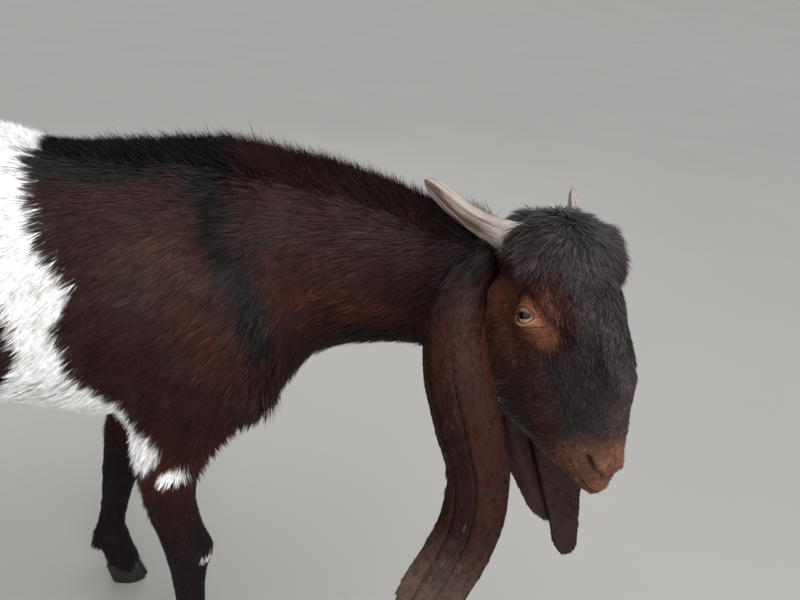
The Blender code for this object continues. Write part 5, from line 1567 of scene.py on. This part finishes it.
def eyeMaterial():
    # A wet eye: pale gold iris with fine spokes, a broad level pupil and a brown rim
    made, tree, shader = newMaterial("goat eye")
    place = addNode(tree, "ShaderNodeAttribute", {"attribute_name": "eyePlace"})
    split = addNode(tree, "ShaderNodeSeparateXYZ", Vector=place.outputs["Vector"])
    x, z = split.outputs["X"], split.outputs["Z"]
    xx = addNode(tree, "ShaderNodeMath", {"operation": "MULTIPLY"}, i0=x, i1=x)
    zz = addNode(tree, "ShaderNodeMath", {"operation": "MULTIPLY"}, i0=z, i1=z)
    ring = addNode(tree, "ShaderNodeMath", {"operation": "ADD"}, i0=xx.outputs[0], i1=zz.outputs[0])
    reach = addNode(tree, "ShaderNodeMath", {"operation": "SQRT"}, i0=ring.outputs[0])
    wide = addNode(tree, "ShaderNodeMath", {"operation": "MULTIPLY"}, i0=x)
    wide.inputs[1].default_value = 1 / eyeColours["pupil"][0]
    raised = addNode(tree, "ShaderNodeMath", {"operation": "SUBTRACT"}, i0=z)
    raised.inputs[1].default_value = eyeColours["raised"]
    tall = addNode(tree, "ShaderNodeMath", {"operation": "MULTIPLY"}, i0=raised.outputs[0])
    tall.inputs[1].default_value = 1 / eyeColours["pupil"][1]
    wideShare = addNode(tree, "ShaderNodeMath", {"operation": "POWER"}, i0=addNode(
        tree, "ShaderNodeMath", {"operation": "ABSOLUTE"}, i0=wide.outputs[0]).outputs[0])
    wideShare.inputs[1].default_value = 3.0
    tallShare = addNode(tree, "ShaderNodeMath", {"operation": "POWER"}, i0=addNode(
        tree, "ShaderNodeMath", {"operation": "ABSOLUTE"}, i0=tall.outputs[0]).outputs[0])
    tallShare.inputs[1].default_value = 3.0
    slot = addNode(tree, "ShaderNodeMath", {"operation": "ADD"}, i0=wideShare.outputs[0], i1=tallShare.outputs[0])
    pupil = addNode(tree, "ShaderNodeMapRange", {"From Min": 0.8, "From Max": 1.25}, Value=slot.outputs[0])
    spokes = addNode(tree, "ShaderNodeTexNoise", {"Scale": 9.0, "Detail": 6.0}, Vector=place.outputs["Vector"])
    iris = addNode(tree, "ShaderNodeValToRGB", Fac=spokes.outputs["Fac"])
    iris.color_ramp.elements[0].position = 0.35
    iris.color_ramp.elements[0].color = (*linearColour(eyeColours["irisDark"]), 1)
    iris.color_ramp.elements[1].position = 0.65
    iris.color_ramp.elements[1].color = (*linearColour(eyeColours["irisPale"]), 1)
    seen = addNode(tree, "ShaderNodeMix", {"data_type": "RGBA"})
    seen.inputs[6].default_value = (*linearColour(eyeColours["pupilTint"]), 1)
    tree.links.new(pupil.outputs["Result"], seen.inputs[0])
    tree.links.new(iris.outputs["Color"], seen.inputs[7])
    edge = addNode(tree, "ShaderNodeValToRGB", Fac=reach.outputs[0])
    edge.color_ramp.elements[0].position = 0.86
    edge.color_ramp.elements[0].color = (0, 0, 0, 1)
    edge.color_ramp.elements[1].position = 0.96
    edge.color_ramp.elements[1].color = (1, 1, 1, 1)
    whole = addNode(tree, "ShaderNodeMix", {"data_type": "RGBA"})
    whole.inputs[7].default_value = (*linearColour(eyeColours["rim"]), 1)
    tree.links.new(edge.outputs["Color"], whole.inputs[0])
    tree.links.new(seen.outputs[2], whole.inputs[6])
    tree.links.new(whole.outputs[2], shader.inputs["Base Color"])
    shader.inputs["Roughness"].default_value = 0.08
    shader.inputs["IOR"].default_value = 1.376
    shader.inputs["Coat Weight"].default_value = 1.0
    shader.inputs["Coat Roughness"].default_value = 0.02
    return made


hornColours = {"pale": "#9c9189", "streak": "#4c3829", "scurf": "#d2c8be", "stain": "#4a3020"}
hoofColours = {"dark": "#080707", "light": "#1a1614"}


def hornMaterial():
    # Horn: grown keratin, pale grey beige with brown streaks along it and a scurfy white base
    made, tree, shader = newMaterial("horn keratin")
    place = addNode(tree, "ShaderNodeAttribute", {"attribute_name": "hornPlace"})
    squash = addNode(tree, "ShaderNodeMapping", Vector=place.outputs["Vector"])
    squash.inputs["Scale"].default_value = (1.0, 1.0, 0.9)
    broad = addNode(tree, "ShaderNodeTexNoise", {"Scale": 2.2, "Detail": 5.0, "Distortion": 0.6},
                    Vector=squash.outputs["Vector"])
    streak = addNode(tree, "ShaderNodeValToRGB", Fac=broad.outputs["Fac"])
    streak.color_ramp.elements[0].position = 0.42
    streak.color_ramp.elements[0].color = (*linearColour(hornColours["pale"]), 1)
    streak.color_ramp.elements[1].position = 0.60
    streak.color_ramp.elements[1].color = (*linearColour(hornColours["streak"]), 1)
    fineMap = addNode(tree, "ShaderNodeMapping", Vector=place.outputs["Vector"])
    fineMap.inputs["Scale"].default_value = (14.0, 14.0, 2.0)
    fine = addNode(tree, "ShaderNodeTexNoise", {"Scale": 2.0, "Detail": 6.0}, Vector=fineMap.outputs["Vector"])
    shade = addNode(tree, "ShaderNodeMapRange", {"From Min": 0.28, "From Max": 0.72, "To Min": 0.60, "To Max": 1.30},
                    Value=fine.outputs["Fac"])
    tint = addNode(tree, "ShaderNodeVectorMath", {"operation": "SCALE"}, Vector=streak.outputs["Color"],
                   Scale=shade.outputs["Result"])
    split = addNode(tree, "ShaderNodeSeparateXYZ", Vector=place.outputs["Vector"])
    crackMap = addNode(tree, "ShaderNodeMapping", Vector=place.outputs["Vector"])
    crackMap.inputs["Scale"].default_value = (3.2, 3.2, 20.0)
    scurf = addNode(tree, "ShaderNodeTexVoronoi", {"feature": "DISTANCE_TO_EDGE"}, Vector=crackMap.outputs["Vector"])
    flake = addNode(tree, "ShaderNodeMapRange", {"From Min": 0.03, "From Max": 0.22}, Value=scurf.outputs["Distance"])
    rootShare = addNode(tree, "ShaderNodeMapRange", {"From Min": 0.42, "From Max": 0.16}, Value=split.outputs["Z"])
    speck = addNode(tree, "ShaderNodeMath", {"operation": "MULTIPLY"}, i0=rootShare.outputs["Result"],
                    i1=flake.outputs["Result"])
    whole = addNode(tree, "ShaderNodeMix", {"data_type": "RGBA"})
    whole.inputs[7].default_value = (*linearColour(hornColours["scurf"]), 1)
    tree.links.new(speck.outputs[0], whole.inputs[0])
    # A brown streak runs along the lower flank
    low = addNode(tree, "ShaderNodeMapRange", {"From Min": 0.45, "From Max": -0.20}, Value=split.outputs["X"])
    outward = addNode(tree, "ShaderNodeMapRange", {"From Min": 0.12, "From Max": 0.30}, Value=split.outputs["Z"])
    flank = addNode(tree, "ShaderNodeMath", {"operation": "MULTIPLY"}, i0=low.outputs["Result"],
                    i1=outward.outputs["Result"])
    blotch = addNode(tree, "ShaderNodeMapRange", {"From Min": 0.36, "From Max": 0.56}, Value=broad.outputs["Fac"])
    patchy = addNode(tree, "ShaderNodeMath", {"operation": "MULTIPLY"}, i0=flank.outputs[0],
                     i1=blotch.outputs["Result"])
    stained = addNode(tree, "ShaderNodeMix", {"data_type": "RGBA"})
    stained.inputs[7].default_value = (*linearColour(hornColours["stain"]), 1)
    tree.links.new(patchy.outputs[0], stained.inputs[0])
    tree.links.new(tint.outputs[0], stained.inputs[6])
    tree.links.new(stained.outputs[2], whole.inputs[6])
    tree.links.new(whole.outputs[2], shader.inputs["Base Color"])
    raised = addNode(tree, "ShaderNodeBump", {"Strength": 0.35, "Distance": 0.0008}, Height=fine.outputs["Fac"])
    tree.links.new(raised.outputs["Normal"], shader.inputs["Normal"])
    shader.inputs["Roughness"].default_value = 0.52
    shader.inputs["IOR"].default_value = 1.54
    return made


def hoofMaterial():
    # Hoof horn: dark keratin with level growth rings, dusty where it wears
    made, tree, shader = newMaterial("hoof keratin")
    place = addNode(tree, "ShaderNodeTexCoord")
    bands = addNode(tree, "ShaderNodeTexNoise", {"Scale": 60.0, "Detail": 4.0}, Vector=place.outputs["Object"])
    tint = addNode(tree, "ShaderNodeValToRGB", Fac=bands.outputs["Fac"])
    tint.color_ramp.elements[0].color = (*linearColour(hoofColours["dark"]), 1)
    tint.color_ramp.elements[1].color = (*linearColour(hoofColours["light"]), 1)
    tree.links.new(tint.outputs["Color"], shader.inputs["Base Color"])
    raised = addNode(tree, "ShaderNodeBump", {"Strength": 0.3, "Distance": 0.0006}, Height=bands.outputs["Fac"])
    tree.links.new(raised.outputs["Normal"], shader.inputs["Normal"])
    shader.inputs["Roughness"].default_value = 0.5
    shader.inputs["IOR"].default_value = 1.54
    return made


bristleGroup = bristleNodes()
for side, word in ((1, "Left"), (-1, "Right")):
    fore, upward, out = eyeAxes(side)
    share = draw.uniform(-0.95, 0.98, bristleLook["lashes"])
    along = share * eyeLook["slit"][0] * 1.02 - eyeLook["offset"]
    tall = np.sqrt(1 - share**2) * eyeLook["slit"][1] * 1.06
    high = np.sqrt((eyeLook["radius"] + 0.0022) ** 2 - along**2 - tall**2)
    roots = np.array(eyeLook["at"]) * (1, side, 1)
    roots = roots + np.outer(along, fore) + np.outer(tall, upward) + np.outer(high, out)
    aims = out + np.outer(0.35 + 0.4 * tall / 0.006, upward) + np.outer(0.5 * share, fore)
    aims = aims + draw.normal(0, 0.12, aims.shape)
    tints = np.tile(coatLinear["black"], (len(roots), 1))
    bristles("lashes" + word, toGoat(roots), aims @ headTurnArray.T, draw.uniform(0.0045, 0.0075, len(roots)), tints,
             faceHair)
    count = bristleLook["whiskers"]
    starts = np.stack([draw.uniform(0.100, 0.140, count), np.full(count, side * 0.05),
                       draw.uniform(-0.094, -0.058, count)], 1)
    places, outs, met = dropped(headTree, toGoat(starts), np.tile(headTurnArray @ (0, -side, 0), (len(starts), 1)))
    aims = outs + (np.array((-0.25, 0.0, -0.55)) @ headTurnArray.T) + draw.normal(0, 0.15, outs.shape)
    tints = np.where(draw.random((len(places), 1)) < 0.25, coatLinear["dustAndSheen"], coatLinear["black"])
    bristles("whiskers" + word, places, aims, draw.uniform(0.005, 0.010, len(places)), tints, faceHair)

looks = {"eye": eyeMaterial(), "horn": hornMaterial(), "hoof": hoofMaterial()}
skin.data.materials.append(skinHide)
for piece in coatPieces:
    if not piece.data.materials:
        piece.data.materials.append(faceHair if piece.name in ("coatHead", "coatCrown") else coatHair)
for piece in eyes.values():
    piece.data.materials.append(looks["eye"])
for piece in horns.values():
    piece.data.materials.append(looks["horn"])
for piece in hooves.values():
    piece.data.materials.append(looks["hoof"])

# What each piece stands for, and what it moves with
fleshNodes = ["torso", "neck", "head", "tail", "ear_left", "ear_right"]
for word in ("left", "right"):
    for kind in ("foreleg", "hindleg"):
        fleshNodes += [f"{kind}_{word}_upper", f"{kind}_{word}_lower"]
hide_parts(*fleshNodes)
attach(skin, "root")
for piece in coatPieces:
    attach(piece, "root")
for word, piece in eyes.items():
    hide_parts("eye_" + word)
    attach(piece, "root")
for word, piece in horns.items():
    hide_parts("horn_" + word)
    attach(piece, "root")
for node, piece in hooves.items():
    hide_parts(node)
    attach(piece, "root")

# Floor, light and camera

stageLook = {"floor": "#918e8a", "sky": "#dfe2e6", "skyStrength": 0.86, "sunPower": 2.1, "sunWidth": 55}


def floorMaterial():
    # Matt painted board, a little uneven
    made, tree, shader = newMaterial("matt floor paint")
    place = addNode(tree, "ShaderNodeTexCoord")
    cloudy = addNode(tree, "ShaderNodeTexNoise", {"Scale": 1.5, "Detail": 4.0}, Vector=place.outputs["Object"])
    tint = addNode(tree, "ShaderNodeValToRGB", Fac=cloudy.outputs["Fac"])
    tint.color_ramp.elements[0].color = (*(linearColour(stageLook["floor"]) * 0.94), 1)
    tint.color_ramp.elements[1].color = (*(linearColour(stageLook["floor"]) * 1.05), 1)
    tree.links.new(tint.outputs["Color"], shader.inputs["Base Color"])
    shader.inputs["Roughness"].default_value = 0.85
    return made


# The floor curves up into a wall far from the model, so that it has no edge to be seen
spread = np.concatenate([[0.0, 3.0, 8.0], np.linspace(16.0, 22.0, 10)])
rise = 1.6 * ((spread.clip(16) - 16) / 6) ** 2
rings = [np.stack([r * np.cos(a), r * np.sin(a), h * np.ones(64)], 1)
         for a in [np.linspace(0, 2 * np.pi, 64, endpoint=False)] for r, h in zip(spread + 1e-3, rise)]
floorPoints, floorFaces = tube(rings)
floorMesh = bpy.data.meshes.new("studioFloor")
floorMesh.from_pydata(floorPoints.tolist(), [], floorFaces[:-1])
floorMesh.flip_normals()
floor = bpy.data.objects.new("studioFloor", floorMesh)
bpy.context.scene.collection.objects.link(floor)
floorMesh.materials.append(floorMaterial())

world = bpy.data.worlds.new("studioSky")
bpy.context.scene.world = world
world.use_nodes = True
backdrop = world.node_tree.nodes["Background"]
backdrop.inputs["Color"].default_value = (*linearColour(stageLook["sky"]), 1)
backdrop.inputs["Strength"].default_value = stageLook["skyStrength"]

lamps = {  # place in the goat's frame, aim, size and power
    "softboxFront": ((0.9, -2.0, 1.7), (0.05, -0.1, 0.5), 1.6, 42),
    "softboxBack": ((-1.2, 2.0, 2.0), (-0.1, 0.0, 0.5), 1.6, 24),
}
for name, (at, aim, size, power) in lamps.items():
    lamp = bpy.data.lights.new(name, "AREA")
    lamp.shape = "DISK"
    lamp.size = size
    lamp.energy = power
    holder = bpy.data.objects.new(name, lamp)
    bpy.context.scene.collection.objects.link(holder)
    holder.location = Vector(at) + Vector(shift)
    holder.rotation_euler = (Vector(aim) - Vector(at)).to_track_quat("-Z", "Y").to_euler()
# A broad lamp far above lights the whole floor evenly
lampAbove = bpy.data.lights.new("skylight", "SUN")
lampAbove.energy = stageLook["sunPower"]
lampAbove.angle = math.radians(stageLook["sunWidth"])
holder = bpy.data.objects.new("skylight", lampAbove)
bpy.context.scene.collection.objects.link(holder)
holder.rotation_euler = Vector((-0.25, 0.20, -1.0)).to_track_quat("-Z", "Y").to_euler()

cameraLook = {"at": (0.0, -0.725, 0.925), "down": 25.6, "roll": 5.5, "focal": 700.0}
pitch, roll = math.radians(cameraLook["down"]), math.radians(cameraLook["roll"])
ahead = Vector((0, math.cos(pitch), -math.sin(pitch)))
right = Vector((1, 0, 0))
up = right.cross(ahead)
cameraRight = right * math.cos(roll) + up * math.sin(roll)
cameraUp = up * math.cos(roll) - right * math.sin(roll)
cameraData = bpy.data.cameras.new("studioCamera")
camera = bpy.data.objects.new("studioCamera", cameraData)
bpy.context.scene.collection.objects.link(camera)
turn = Matrix((cameraRight, cameraUp, -ahead)).transposed().to_4x4()
camera.matrix_world = Matrix.Translation(Vector(cameraLook["at"]) + Vector(shift)) @ turn
cameraData.sensor_width = 36.0
cameraData.lens = cameraLook["focal"] * 36.0 / 800
cameraData.clip_start = 0.02
bpy.context.scene.camera = camera
bpy.context.scene.view_settings.view_transform = "Standard"
